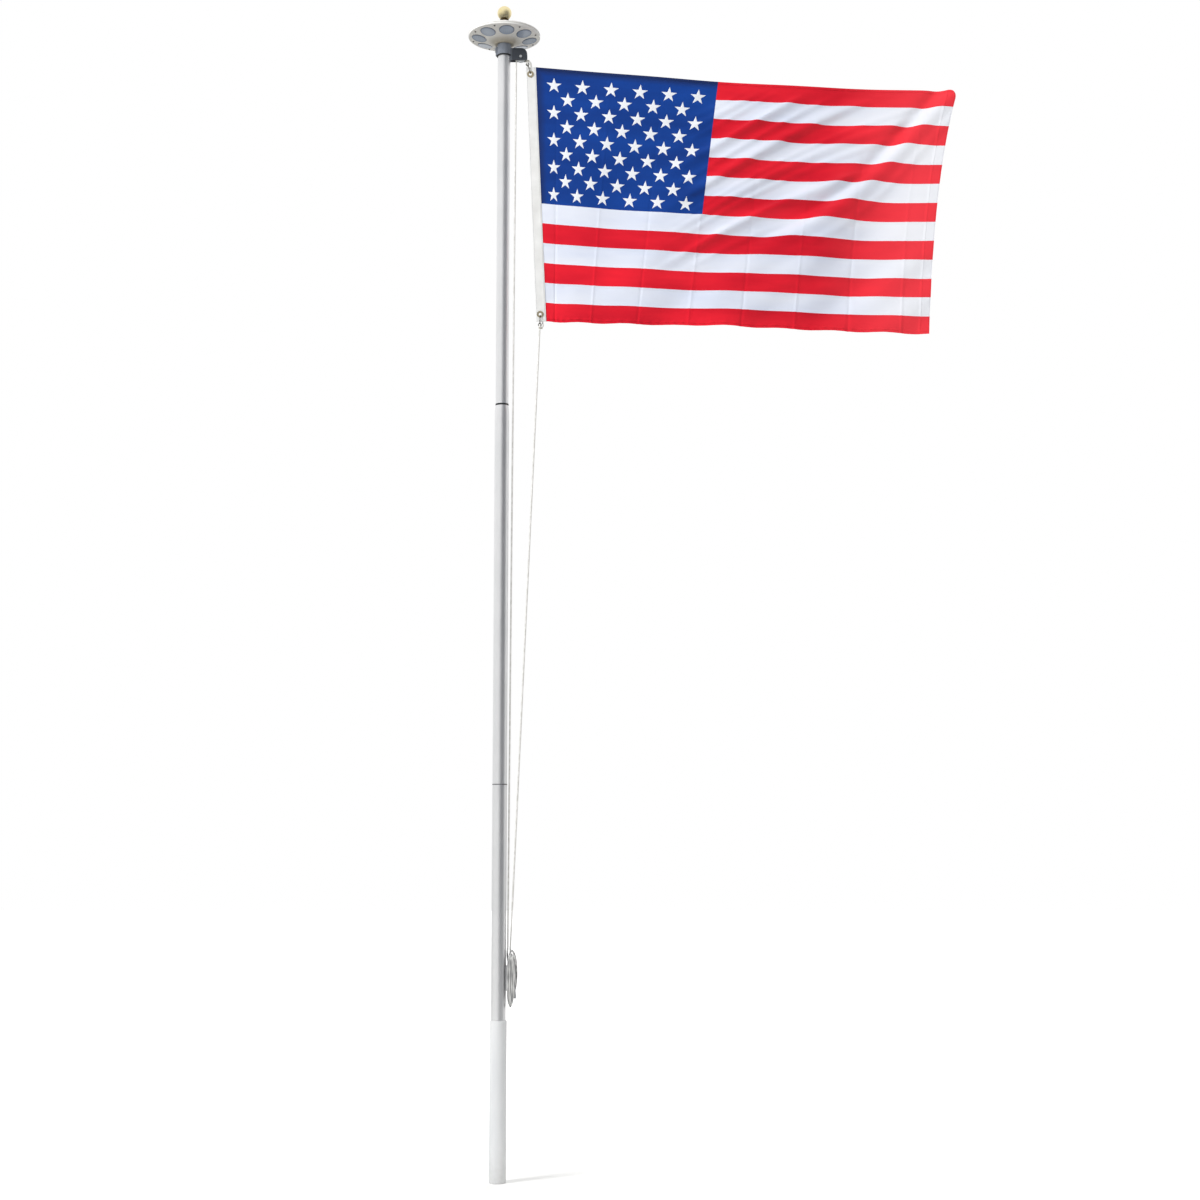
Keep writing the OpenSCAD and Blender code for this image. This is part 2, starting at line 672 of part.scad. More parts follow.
// Between the two hooks: round the upper eye, behind the heading and round the lower eye
module hoist_line() {
    upper = strand(upper_seizing, upper_turn, 1);
    lower = strand(lower_seizing, lower_turn, -1);
    out = grommet_edge + wire_r + rope_r + 2;
    color("white") rope_along([
        flat(upper), flat(along(upper, upper_turn, -2)),
        flat(beside_eye(upper_bend, upper_turn, 60)), flat(beside_eye(upper_bend, upper_turn, 95)),
        flat(hoist_point(-10, out - 4), behind_y / 2), flat(hoist_point(8, out), behind_y),
        flat(hoist_point(60, out), behind_y), flat(hoist_point(flag_hoist - 60, out), behind_y),
        flat(hoist_point(flag_hoist - 8, out), behind_y),
        flat(hoist_point(flag_hoist + 10, out), behind_y / 2),
        flat(beside_eye(lower_bend, lower_turn, -95)), flat(beside_eye(lower_bend, lower_turn, -60)),
        flat(along(lower, lower_turn, -2)), flat(lower)]);
}

// From the lower hook down to the cleat
module downhaul_line() {
    color("white") rope_along([flat(along(lower_seizing, lower_turn, seizing_h)),
        flat(downhaul_foot)]);
}

// The rope's loop through a hook's eye, and the seizing that binds its two strands
module rope_loop(bend, turn, side) {
    color("white") set_at(bend, turn) {
        translate([0, 0, eye_at + eye_track_r]) rotate([0, 90, 0])
            rotate_extrude() translate([loop_r, 0]) circle(r = rope_r, $fn = 24);
        translate([0, 0, seizing_at]) {
            cylinder(r = rope_r + seizing_wall, h = seizing_h);
            translate([side * strand_gap, 0, 0]) cylinder(r = rope_r + seizing_wall, h = seizing_h);
            translate([side > 0 ? 0 : -strand_gap, -rope_r - seizing_wall, 0])
                cube([strand_gap, rope_d + 2 * seizing_wall, seizing_h]);
        }
    }
}
module upper_rope_loop() { rope_loop(upper_bend, upper_turn, 1); }
module lower_rope_loop() { rope_loop(lower_bend, lower_turn, -1); }

// The spare rope, wound in figures of eight on the cleat: its outer shape
module halyard_hank() {
    x_in = tube_r + 1;
    half = hank_h / 2;
    end_w = 2 * rope_d + 5;
    steps = 12;
    outer = [for (i = [-steps : steps])
        [x_in + end_w + (hank_w - end_w) * pow(cos(90 * i / steps), 0.8),
         cleat_z + i * half / steps]];
    reach = cleat_len / 2 + hair;
    color("white") difference() {
        translate([0, hank_depth / 2, 0]) rotate([90, 0, 0]) linear_extrude(hank_depth)
            polygon(concat([[x_in, cleat_z - half]], outer, [[x_in, cleat_z + half]]));
        translate([0, -horn_d / 2 - hair, cleat_z - reach])
            cube([horn_x + horn_d / 2 + horn_lift - 2 + hair, horn_d + 2 * hair, 2 * reach]);
        translate([0, -cleat_foot_w / 2 - hair, cleat_z - reach])
            cube([tube_r + cleat_foot_t + hair, cleat_foot_w + 2 * hair, 2 * reach]);
    }
}

// ---------------------------------------------------------------- snap hooks

// A bent wire hook in its own frame: its bend at the origin, its eye up the +Z axis.
// The hook lies across the flag, in the plane x = 0; its eye lies in the plane y = 0.
module hook_wire() {
    module bend(side) {
        rotate([90, 0, 90]) rotate([0, 0, side])
            rotate_extrude(angle = 180) translate([hook_r, 0]) circle(r = wire_r, $fn = 24);
    }
    translate([0, 0, hook_r]) {
        bend(180);
        translate([0, hook_r, 0]) cylinder(r = wire_r, h = hook_leg);
        translate([0, -hook_r, 0]) cylinder(r = wire_r, h = hook_end);
        translate([0, 0, hook_leg]) {
            bend(0);
            translate([0, -hook_r, -hook_end]) cylinder(r = wire_r, h = hook_end);
            translate([0, 0, hook_r]) cylinder(r = wire_r + 1.2, h = hook_neck_h);
        }
    }
    translate([0, 0, eye_at]) rotate([90, 0, 0])
        rotate_extrude() translate([eye_track_r, 0]) circle(r = eye_wire_r, $fn = 24);
}

module upper_snap_hook() {
    color("gainsboro") set_at(upper_bend, upper_turn) hook_wire();
}
module lower_snap_hook() {
    color("gainsboro") set_at(lower_bend, lower_turn) hook_wire();
}

// The gate's straight wire, across the hook's mouth
module gate() {
    translate([0, -hook_r, hook_r + hook_end + hair])
        cylinder(r = wire_r - 0.4, h = hook_leg - 2 * (hook_end + hair));
}
module upper_snap_gate() {
    color("silver") set_at(upper_bend, upper_turn) gate();
}
module lower_snap_gate() {
    color("silver") set_at(lower_bend, lower_turn) gate();
}

// ---------------------------------------------------------------- flag

module grommet(point) {
    out = cloth_t / 2;
    color("goldenrod") translate([point[0], 0, point[1]]) rotate([90, 0, 0]) turned([
        [grommet_hole_r, -out - flange_t], [grommet_r - 0.5, -out - flange_t],
        [grommet_r, -out], [grommet_hole_r + barrel_t, -out], [grommet_hole_r + barrel_t, out],
        [grommet_r, out], [grommet_r - 0.5, out + flange_t], [grommet_hole_r, out + flange_t]]);
}
module upper_grommet() { grommet(upper_grommet_at); }
module lower_grommet() { grommet(lower_grommet_at); }

module flag_heading() {
    corners = [hoist_point(0), hoist_point(0, heading_w),
               hoist_point(flag_hoist, heading_w), hoist_point(flag_hoist)];
    color("ghostwhite") difference() {
        translate([0, cloth_t / 2, 0]) rotate([90, 0, 0]) linear_extrude(cloth_t) polygon(corners);
        for (p = [upper_grommet_at, lower_grommet_at])
            translate([p[0], 0, p[1]]) rotate([90, 0, 0])
                cylinder(r = grommet_hole_r + barrel_t + fit_gap, h = 20, center = true);
    }
}

// A point of the cloth: u from hoist to fly and v from top to bottom, both 0 to 1
function cloth_point(u, v, y) =
    let (start = hoist_point(v * flag_hoist, heading_w + cloth_gap),
         long = flag_fly - heading_w,
         span = long * (1 - (1 - bottom_span) * v),
         fall = top_fall + (bottom_fall - top_fall) * v,
         phase = 360 * (u * long * 0.8 + v * flag_hoist * 0.6) / fold_pitch,
         depth = fold_depth * u * (0.5 + 0.5 * v))
    [start[0] + u * span * cos(fall), y + depth * sin(phase), start[1] - u * span * sin(fall)];

module flag_cloth() {
    cols = flag_cols;
    rows = flag_rows;
    side = (cols + 1) * (rows + 1);
    points = [for (y = [-cloth_t / 2, cloth_t / 2]) for (j = [0 : rows]) for (i = [0 : cols])
        cloth_point(i / cols, j / rows, y)];
    function at(i, j, back) = back * side + j * (cols + 1) + i;
    front = [for (j = [0 : rows - 1]) for (i = [0 : cols - 1]) each [
        [at(i, j, 0), at(i + 1, j, 0), at(i + 1, j + 1, 0)],
        [at(i, j, 0), at(i + 1, j + 1, 0), at(i, j + 1, 0)]]];
    back = [for (j = [0 : rows - 1]) for (i = [0 : cols - 1]) each [
        [at(i, j, 1), at(i + 1, j + 1, 1), at(i + 1, j, 1)],
        [at(i, j, 1), at(i, j + 1, 1), at(i + 1, j + 1, 1)]]];
    top_bottom = [for (i = [0 : cols - 1]) each [
        [at(i, 0, 0), at(i, 0, 1), at(i + 1, 0, 1), at(i + 1, 0, 0)],
        [at(i, rows, 0), at(i + 1, rows, 0), at(i + 1, rows, 1), at(i, rows, 1)]]];
    hoist_fly = [for (j = [0 : rows - 1]) each [
        [at(0, j, 0), at(0, j + 1, 0), at(0, j + 1, 1), at(0, j, 1)],
        [at(cols, j, 0), at(cols, j, 1), at(cols, j + 1, 1), at(cols, j + 1, 0)]]];
    color("crimson") polyhedron(points, concat(front, back, top_bottom, hoist_fly));
}

sleeve_end_cap();
ground_sleeve();
lower_tube();
lower_joint_ring();
middle_tube();
upper_joint_ring();
top_tube();
truck_body();
truck_seal();
truck_clamp_screw();
sheave();
sheave_axle();
axle_nut();
light_pan();
rim_gasket();
light_dome();
lamp_lenses();
pan_screws();
solar_panel();
finial_spindle();
finial_stem();
finial_collar();
finial_ball();
cleat();
cleat_screws();
hoisting_line();
hoist_line();
downhaul_line();
upper_rope_loop();
lower_rope_loop();
halyard_hank();
upper_snap_hook();
lower_snap_hook();
upper_snap_gate();
lower_snap_gate();
upper_grommet();
lower_grommet();
flag_heading();
flag_cloth();
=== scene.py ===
# %% [markdown]
# # Dressing a flagpole
# The pole was drawn to scale as a set of solids: tubes, sleeve, truck, light, cleat, ropes and
# flag. This lesson loads them as a fixed frame and gives them their surfaces. Hard parts keep
# their shape and get a finish. Soft parts, the ropes and the flag, are made again as what
# they are. All lengths are metres, +Z runs up the pole and +X points from the pole to the flag.

# %% Load the frame
import math

import bpy
import numpy as np
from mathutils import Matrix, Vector


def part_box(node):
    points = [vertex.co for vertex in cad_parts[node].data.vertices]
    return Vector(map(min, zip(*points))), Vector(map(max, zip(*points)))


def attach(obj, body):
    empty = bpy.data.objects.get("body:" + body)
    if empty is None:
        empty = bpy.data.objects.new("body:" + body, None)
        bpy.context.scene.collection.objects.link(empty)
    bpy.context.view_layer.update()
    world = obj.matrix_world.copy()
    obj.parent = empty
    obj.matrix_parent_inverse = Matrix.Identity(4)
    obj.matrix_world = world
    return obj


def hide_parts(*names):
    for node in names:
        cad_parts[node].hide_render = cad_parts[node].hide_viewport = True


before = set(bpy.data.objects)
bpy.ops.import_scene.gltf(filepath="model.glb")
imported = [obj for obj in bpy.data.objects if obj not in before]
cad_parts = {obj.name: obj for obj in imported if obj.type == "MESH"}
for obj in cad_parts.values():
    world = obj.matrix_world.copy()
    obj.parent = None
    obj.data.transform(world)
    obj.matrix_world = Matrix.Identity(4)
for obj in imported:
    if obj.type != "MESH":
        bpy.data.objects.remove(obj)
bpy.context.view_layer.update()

print("the frame holds", len(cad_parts), "nodes")

# %% [markdown]
# ## Finding places
# Every place comes from the boxes of the loaded parts, so a new piece fits its neighbours.
# A few lengths inside the halyard's fittings are repeated from the drawing.

# %% Places taken from the parts
MM = 0.001


def middle_of(node):
    """The middle of a part's box."""
    return sum(np.array(corner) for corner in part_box(node)) / 2


axle = middle_of("sheave")
cleat_z = middle_of("cleat")[2]
light_rim_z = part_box("light_pan")[1][2]
heading_low, heading_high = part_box("flag_heading")
print("axle at", axle.round(4), "cleat at", round(cleat_z, 3))

# %% [markdown]
# ## The eye level
# A pole this tall is seen from where a person stands: some seven metres away, at chest height,
# looking a little upwards, so the light's underside shows and the upright stays upright.

# %% Camera
EYE = (0.341, -6.826, 1.0965)
LOOKING_UP = 7.125        # degrees above level
camera_data = bpy.data.cameras.new("eye")
camera_data.lens = 60
camera_data.sensor_width = 36
camera = bpy.data.objects.new("eye", camera_data)
camera.location = EYE
camera.rotation_euler = (math.radians(90 + LOOKING_UP), 0, 0)
bpy.context.scene.collection.objects.link(camera)
bpy.context.scene.camera = camera
print("the camera stands", camera.location)

# %% [markdown]
# ## Small helpers
# Colours are written as on a paint card and turned to the linear values that shaders use.
# One function adds a node: a socket is linked, a plain value is set, a name in small letters
# is the node's own property, and stops are the places and colours of a colour ramp.

# %% Helpers for colour, nodes and selection
def linear(card):
    """A colour card such as #AABBCC as linear red, green, blue and alpha."""
    parts = [int(card[i:i + 2], 16) / 255 for i in (1, 3, 5)]
    return [p / 12.92 if p <= 0.04045 else ((p + 0.055) / 1.055) ** 2.4 for p in parts] + [1]


def finish(name, base, roughness, **more):
    """A new material with its shader's uniform values set."""
    material = bpy.data.materials.new(name)
    material.use_nodes = True
    shader = material.node_tree.nodes["Principled BSDF"]
    shader.inputs["Base Color"].default_value = linear(base)
    shader.inputs["Roughness"].default_value = roughness
    for socket, value in more.items():
        shader.inputs[socket.replace("_", " ")].default_value = value
    return material


def add(material, kind, settings):
    """Adds a node; a node given as a value stands for its first output."""
    node = material.node_tree.nodes.new("ShaderNode" + kind)
    for name, value in settings.items():
        if isinstance(value, bpy.types.Node):
            value = value.outputs[0]
        if name == "stops":
            line = node.color_ramp.elements
            for i, (place, card) in enumerate(value):
                stop = line[i] if i < 2 else line.new(place)
                stop.position, stop.color = place, linear(card)
        elif isinstance(name, str) and name[0].islower():
            setattr(node, name, value)
        elif isinstance(value, bpy.types.NodeSocket):
            material.node_tree.links.new(value, node.inputs[name])
        else:
            node.inputs[name].default_value = value
    return node


def into(material, **links):
    """Links nodes to the shader's sockets."""
    shader = material.node_tree.nodes["Principled BSDF"]
    for socket, value in links.items():
        value = value.outputs[0] if isinstance(value, bpy.types.Node) else value
        material.node_tree.links.new(value, shader.inputs[socket.replace("_", " ")])


def dress(material, *nodes):
    """Gives loaded parts a finish, by their objects' material slots."""
    for node in nodes:
        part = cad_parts[node]
        if not part.material_slots:
            part.data.materials.append(None)
        for place in part.material_slots:
            place.link = "OBJECT"
            place.material = material


def start():
    """Leaves edit mode and deselects everything, before a primitive is added."""
    if bpy.context.object and bpy.context.object.mode != "OBJECT":
        bpy.ops.object.mode_set(mode="OBJECT")
    bpy.ops.object.select_all(action="DESELECT")


def focus(piece):
    """Makes one piece the only selected and the active one."""
    start()
    piece.select_set(True)
    bpy.context.view_layer.objects.active = piece


def face_outwards(piece):
    """Turns all the faces of a closed piece outwards."""
    focus(piece)
    bpy.ops.object.mode_set(mode="EDIT")
    bpy.ops.mesh.select_all(action="SELECT")
    bpy.ops.mesh.normals_make_consistent(inside=False)
    bpy.ops.object.mode_set(mode="OBJECT")


def new_piece(name, points, faces, material):
    """A piece from points and faces that were worked out."""
    mesh = bpy.data.meshes.new(name)
    mesh.from_pydata(points, [], faces)
    mesh.materials.append(material)
    piece = bpy.data.objects.new(name, mesh)
    bpy.context.scene.collection.objects.link(piece)
    return piece


def settle(name, material):
    """Names the active object, puts its place into its mesh and gives it its finish."""
    piece = bpy.context.object
    piece.name = name
    bpy.ops.object.transform_apply(location=True, rotation=True, scale=True)
    piece.data.materials.clear()
    piece.data.materials.append(material)
    return piece


print("helpers ready")

# %% [markdown]
# ## The ropes' route
# The halyard is one rope: it leaves the hank on the cleat, runs up over the pulley wheel and
# down to the upper snap hook, on behind the flag's heading to the lower hook, and back to
# the hank. The points are those of the drawn solids.

# %% Places on the halyard
rope_d = 6 * MM
rope_r = rope_d / 2
hoist_lean = math.radians(2.5)
flag_hoist = 928 * MM
hoist_x, flag_top_z = heading_low[0], heading_high[2]
heading_w = 35 * MM
eye_r, eye_at = 8 * MM, 34.6 * MM                   # the hooks' eyes, from their bends
hook_loop_r, strand_gap = 5.1 * MM, 6.4 * MM        # the rope's turn through an eye
seizing_at, seizing_h = 43.7 * MM, 4 * MM           # where its two strands are bound
track_r = 16.3 * MM                                 # the rope's middle on the wheel
grommet_in, bend_drop = (15 * MM, 26 * MM), 3.4 * MM  # grommets in from two edges, bends beyond
cleat_line_z = 768.3 * MM
hoisting_foot = np.array([30.5 * MM, cleat_line_z])
downhaul_foot = np.array([39 * MM, cleat_line_z])


def hoist_point(down, out=0.0):
    """A place on the flag's leaning hoist edge, as x and z."""
    return np.array([hoist_x + down * math.tan(hoist_lean) + out, flag_top_z - down])


def step_from(place, turn, distance):
    """A place some way on, in x and z; turn is the angle from straight up."""
    return place + distance * np.array([math.sin(turn), math.cos(turn)])


def turn_to(place, goal):
    """The angle from straight up, towards +X, at which a goal lies from a place."""
    return math.atan2(goal[0] - place[0], goal[1] - place[1])


upper_bend = hoist_point(grommet_in[1], grommet_in[0]) + [0, bend_drop]
lower_bend = hoist_point(flag_hoist - grommet_in[1], grommet_in[0]) - [0, bend_drop]
upper_turn = turn_to(upper_bend, (axle[0] + track_r, axle[2]))
lower_turn = turn_to(lower_bend, downhaul_foot)
print("upper hook at", upper_bend.round(4), "lower hook at", lower_bend.round(4))

# %% [markdown]
# ## A braided rope
# A rope is a tube along its route. Its eight plaited strands are worked into the surface:
# two families of ridges wind round it in opposite directions, and where they meet the
# surface stands a little proud. The tube carries its own map, round it and along it.

# %% Rope maker
PLAIT = 2.7 * MM          # from one strand's crown to the next along the rope
ROPE_SIDES = 16
ROPE_STEP = PLAIT / 2     # two rings to a crown show the relief


def even_route(points, step, soften):
    """Points a step apart along a route, its corners rounded over a length."""
    points = np.array(points, float)
    legs = np.linalg.norm(np.diff(points, axis=0), axis=1)
    along = np.concatenate([[0], np.cumsum(legs)])
    count = max(2, int(along[-1] / step) + 1)
    places = np.linspace(0, along[-1], count)
    route = np.stack([np.interp(places, along, points[:, i]) for i in range(3)], 1)
    half = int(soften / step / 2)
    even = np.ones(2 * half + 1) / (2 * half + 1)
    for _ in range(2):
        head = 2 * route[0] - route[1:half + 1][::-1]
        tail = 2 * route[-1] - route[-half - 1:-1][::-1]
        padded = np.concatenate([head, route, tail])
        route = np.stack([np.convolve(padded[:, i], even, "valid") for i in range(3)], 1)
    return route


def route_length(route):
    """How long a route is, from point to point."""
    return float(np.linalg.norm(np.diff(route, axis=0), axis=1).sum())


def braided_rope(name, route, material):
    """A closed tube along a route, its surface in relief like an eight-strand plait."""
    ways = np.gradient(route, axis=0)
    ways /= np.linalg.norm(ways, axis=1)[:, None]
    side = np.cross(ways[0], [0.3, 1, 0.2])
    side /= np.linalg.norm(side)
    turns = np.arange(ROPE_SIDES) * 2 * math.pi / ROPE_SIDES
    run = np.concatenate([[0], np.cumsum(np.linalg.norm(np.diff(route, axis=0), axis=1))])
    rings = np.zeros((len(route), ROPE_SIDES, 3))
    for i, (place, way) in enumerate(zip(route, ways)):
        side = side - way * (side @ way)
        side /= np.linalg.norm(side)
        deep = np.cross(way, side)
        wave = math.pi * run[i] / PLAIT
        proud = np.cos(4 * turns + wave) * np.cos(4 * turns - wave)
        reach = rope_r * (0.97 + 0.045 * proud)
        rings[i] = place + reach[:, None] * (
            np.cos(turns)[:, None] * side + np.sin(turns)[:, None] * deep)
    count = len(route)
    k = np.arange(ROPE_SIDES)
    n = (k + 1) % ROPE_SIDES
    rows = np.arange(count - 1)[:, None] * ROPE_SIDES
    walls = np.stack([rows + k, rows + n, rows + ROPE_SIDES + n, rows + ROPE_SIDES + k], -1)
    walls = walls.reshape(-1, 4)
    first, last = count * ROPE_SIDES, count * ROPE_SIDES + 1
    caps = [(first, b, a) for a, b in zip(k, n)]
    foot = (count - 1) * ROPE_SIDES
    caps += [(last, foot + a, foot + b) for a, b in zip(k, n)]
    places = np.concatenate([rings.reshape(-1, 3), route[:1], route[-1:]])
    piece = new_piece(name, places.tolist(),
                      walls.tolist() + [tuple(map(int, c)) for c in caps], material)
    mesh = piece.data
    chart = mesh.uv_layers.new(name="along_rope")
    which = np.zeros(len(mesh.loops), int)
    mesh.loops.foreach_get("vertex_index", which)
    around = (which % ROPE_SIDES) / ROPE_SIDES
    ring = np.minimum(which // ROPE_SIDES, count - 1)
    wall_loops = np.arange(len(which)) < len(walls) * 4
    far_side = np.arange(len(which)) % 4 % 3 != 0      # the map closes at 1, not back at 0
    around = np.where(wall_loops & far_side & (around == 0), 1, around)
    chart.data.foreach_set("uv", np.stack([around, run[ring]], 1).ravel())
    mesh.polygons.foreach_set("use_smooth", [True] * len(mesh.polygons))
    mesh.update()
    print(name, "is", round(route_length(route), 3), "m long,", len(mesh.polygons), "faces")
    return piece


# %% [markdown]
# ## Rope finish
# Braided polyester halyard: white yarn, matt with a soft sheen, each yarn catching a little
# shade. The yarns run along the strands, so their lines follow the rope's own map. On the hank,
# painted shade greys the rope in upright streaks, for the shaded gaps between its turns, and
# fades out just above it, by a mix that reads the height.

# %% Braided polyester
YARN = 0.35 * MM
# Painted shade: below these heights the hank's rope is greyed, for the shade between its turns
unshaded_above, shaded_below = cleat_z + 180 * MM, cleat_z + 85 * MM
rope_white = finish("braided_polyester", "#F4F3F0", 0.75, Sheen_Weight=0.3)
rope_map = add(rope_white, "UVMap", {"uv_map": "along_rope"})
rope_scaled = add(rope_white, "Mapping", {0: rope_map, "Scale": (40, 1 / YARN / 6, 1)})
rope_yarn = add(rope_white, "TexNoise", {"Vector": rope_scaled, "Scale": 3, "Detail": 3})
rope_place = add(rope_white, "TexCoord", {}).outputs["Object"]
rope_soil = add(rope_white, "TexNoise", {"Vector": rope_place, "Scale": 60, "Detail": 4})
rope_upright = add(rope_white, "Mapping", {0: rope_place, "Scale": (1, 1, 0.12)})
rope_shade_streaks = add(rope_white, "TexNoise", {"Vector": rope_upright, "Scale": 1 / (5 * MM),
                                          "Detail": 4})
rope_height = add(rope_white, "SeparateXYZ", {0: rope_place})
rope_shade_mask = add(rope_white, "MapRange", {0: rope_height.outputs[2], "From Min": unshaded_above,
                                            "From Max": shaded_below})
rope_plain_tint = add(rope_white, "ValToRGB", {
    0: rope_soil, "stops": [(0.38, "#E2E1DC"), (0.62, "#F4F3F0")]})
# Painted shade: grey streaks stretched upright along the hank's turns
rope_painted_shade_tint = add(rope_white, "ValToRGB", {
    0: rope_shade_streaks, "stops": [(0.38, "#8C8C8E"), (0.62, "#E0E0DE")]})
rope_tint = add(rope_white, "Mix", {"data_type": "RGBA", 0: rope_shade_mask,
                                    6: rope_plain_tint, 7: rope_painted_shade_tint})
into(rope_white, Base_Color=rope_tint.outputs[2],
     Normal=add(rope_white, "Bump", {"Height": rope_yarn, "Strength": 0.5,
                                     "Distance": 0.25 * MM}))
print("rope finish ready")

# %% [markdown]
# ## The hank of spare rope
# What is left of the halyard is wound on the cleat: turns that pass behind both horns and
# lie side by side along the cleat, then two that cross in front and lock the rest. Each
# turn is a racetrack whose straight sides bulge outwards, and each lies a rope's width
# from the one before.

# %% Winding the hank
# For each turn: half height above and below, half width, x at its sides, x behind the horns
inner_turns = [(72, 88, 12.2, 34.5 + 6.5 * i, 36 + 1.2 * i) for i in range(4)]
outer_turns = [(80 - 2.0 * i, 97 - 3.0 * i, 17.6, 56.5 - 6.5 * i, 40 - 1.0 * i)
               for i in range(5)]
turn_table = np.array(inner_turns + outer_turns) * MM


def racetrack(part, up, down, wide):
    """y and z on a closed track: part runs 0 to 1 from the top, down the +Y side."""
    part = part % 1.0
    tall = up + down - 2 * wide
    total = 2 * tall + 2 * math.pi * wide
    run = part * total
    quarter = math.pi * wide / 2
    if run < quarter:
        a = run / wide
        return wide * math.sin(a), up - wide + wide * math.cos(a)
    if run < quarter + tall:
        return wide, up - wide - (run - quarter)
    if run < 3 * quarter + tall:
        a = (run - quarter - tall) / wide
        return wide * math.cos(a), -down + wide - wide * math.sin(a)
    if run < 3 * quarter + 2 * tall:
        return -wide, -down + wide + (run - 3 * quarter - tall)
    a = (run - 3 * quarter - 2 * tall) / wide
    return -wide * math.cos(a), up - wide + wide * math.sin(a)


hank_route = [(30.5 * MM, 0, cleat_line_z), (29.4 * MM, 1.5 * MM, 757 * MM),
              (29.0 * MM, 6 * MM, 742 * MM), (30.5 * MM, 10.5 * MM, 728 * MM)]
turn_count = len(turn_table)
TURN_POINTS = 72
JOINS_AT = 0.13           # the share of the first turn that the way in replaces
for i in range(int(JOINS_AT * TURN_POINTS), turn_count * TURN_POINTS):
    spot = i / TURN_POINTS
    row = min(spot, turn_count - 1.0)
    up, down, wide, x_side, x_back = (np.interp(row, np.arange(turn_count), column)
                                      for column in turn_table.T)
    y, z = racetrack(spot, up, down, wide)
    reach = up if z > 0 else down
    bulge = max(0.0, math.cos(math.pi / 2 * abs(z) / reach)) ** 0.6
    hank_route.append((x_back + (x_side - x_back) * bulge, y, cleat_z + z))

# %% Two crossing turns in front, then up to the downhaul line
CROSSING_TURNS = 1.9
for i in range(1, int(CROSSING_TURNS * TURN_POINTS)):
    b = math.pi / 2 + 2 * math.pi * i / TURN_POINTS
    front = abs(math.cos(b)) ** 0.8               # 0 behind the horns, 1 in front
    reach = 80 if math.sin(b) > 0 else 70
    hank_route.append(((38 + 22.8 * front) * MM, -17 * MM * math.sin(2 * b),
                       cleat_z + (12 + reach * math.sin(b)) * MM))
hank_route += [(40 * MM, -6 * MM, 750 * MM), (39.2 * MM, -1 * MM, 761 * MM),
               (39 * MM, 0, cleat_line_z)]
hank_path = even_route(hank_route, ROPE_STEP, 7 * MM)
print("hank's rope is", round(route_length(hank_path), 3), "m")
spare = braided_rope("halyard_spare", hank_path, rope_white)
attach(spare, "pole")
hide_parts("halyard_hank")

# %% [markdown]
# ## The taut lines
# The rest of the halyard is held tight by the object all the way, so it follows the drawn
# route exactly. At each hook the rope passes through the eye, turns back on itself and is
# bound with whipping twine.

# %% Routes of the taut lines
def flat(place, y=0.0):
    """A place in x and z, at a depth y."""
    return (place[0], y, place[1])


def beside_eye(bend, turn, angle):
    """A place just outside a hook's eye, at an angle round it."""
    return step_from(step_from(bend, turn, eye_at), turn + math.radians(angle),
                     eye_r + rope_r + 1 * MM)


def round_eye(bend, turn, side):
    """The rope's turn through a hook's eye: down its first strand and up the second."""
    middle = step_from(bend, turn, eye_at + 4.8 * MM)
    top = step_from(bend, turn, seizing_at)
    second = top + side * strand_gap * np.array([math.cos(turn), -math.sin(turn)])
    ring = [flat(step_from(middle, turn, -hook_loop_r * math.cos(a)), -hook_loop_r * math.sin(a))
            for a in np.linspace(-2.2, 2.2, 17)]
    return [flat(top)] + ring + [flat(second)]


wheel_turn = [(axle[0] + track_r * math.cos(a), axle[2] + track_r * math.sin(a))
              for a in np.linspace(math.pi, 0, 33)]
upper_top = step_from(upper_bend, upper_turn, seizing_at + seizing_h)
out = grommet_in[0] + (1.8 + 3 + 2) * MM    # past the grommet's barrel, the rope and a gap
behind = (1.5 + 1.2 + 3 + 1) * MM           # behind the heading, likewise
hoisting = [flat(hoisting_foot)] + [flat(p) for p in wheel_turn] + [flat(upper_top)]
hoisting += round_eye(upper_bend, upper_turn, 1)
upper_strand = np.array(hoisting[-1])[[0, 2]]
lower_ring = round_eye(lower_bend, lower_turn, -1)
lower_strand = np.array(lower_ring[-1])[[0, 2]]
between = [
    flat(upper_strand), flat(beside_eye(upper_bend, upper_turn, 60)),
    flat(beside_eye(upper_bend, upper_turn, 95)),
    flat(hoist_point(-10 * MM, out - 4 * MM), behind / 2), flat(hoist_point(8 * MM, out), behind),
    flat(hoist_point(60 * MM, out), behind), flat(hoist_point(flag_hoist - 60 * MM, out), behind),
    flat(hoist_point(flag_hoist - 8 * MM, out), behind),
    flat(hoist_point(flag_hoist + 10 * MM, out), behind / 2),
    flat(beside_eye(lower_bend, lower_turn, -95)), flat(beside_eye(lower_bend, lower_turn, -60)),
    flat(lower_strand)]
downhaul = lower_ring[::-1] + [flat(step_from(lower_bend, lower_turn, seizing_at + seizing_h)),
                               flat(downhaul_foot)]
for name, route, stood_for in (
        ("hoisting_rope", hoisting, ("hoisting_line", "upper_rope_loop")),
        ("flag_edge_rope", between, ("hoist_line",)),
        ("downhaul_rope", downhaul, ("downhaul_line", "lower_rope_loop"))):
    line = braided_rope(name, even_route(route, ROPE_STEP, 4 * MM), rope_white)
    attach(line, "pole")
    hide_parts(*stood_for)

# %% [markdown]
# ## Whipping twine
# Each pair of strands is bound by a few tight turns of waxed twine. One turn is an oval ring:
# a torus whose far half is moved along by the gap between the strands. The rest are copies.

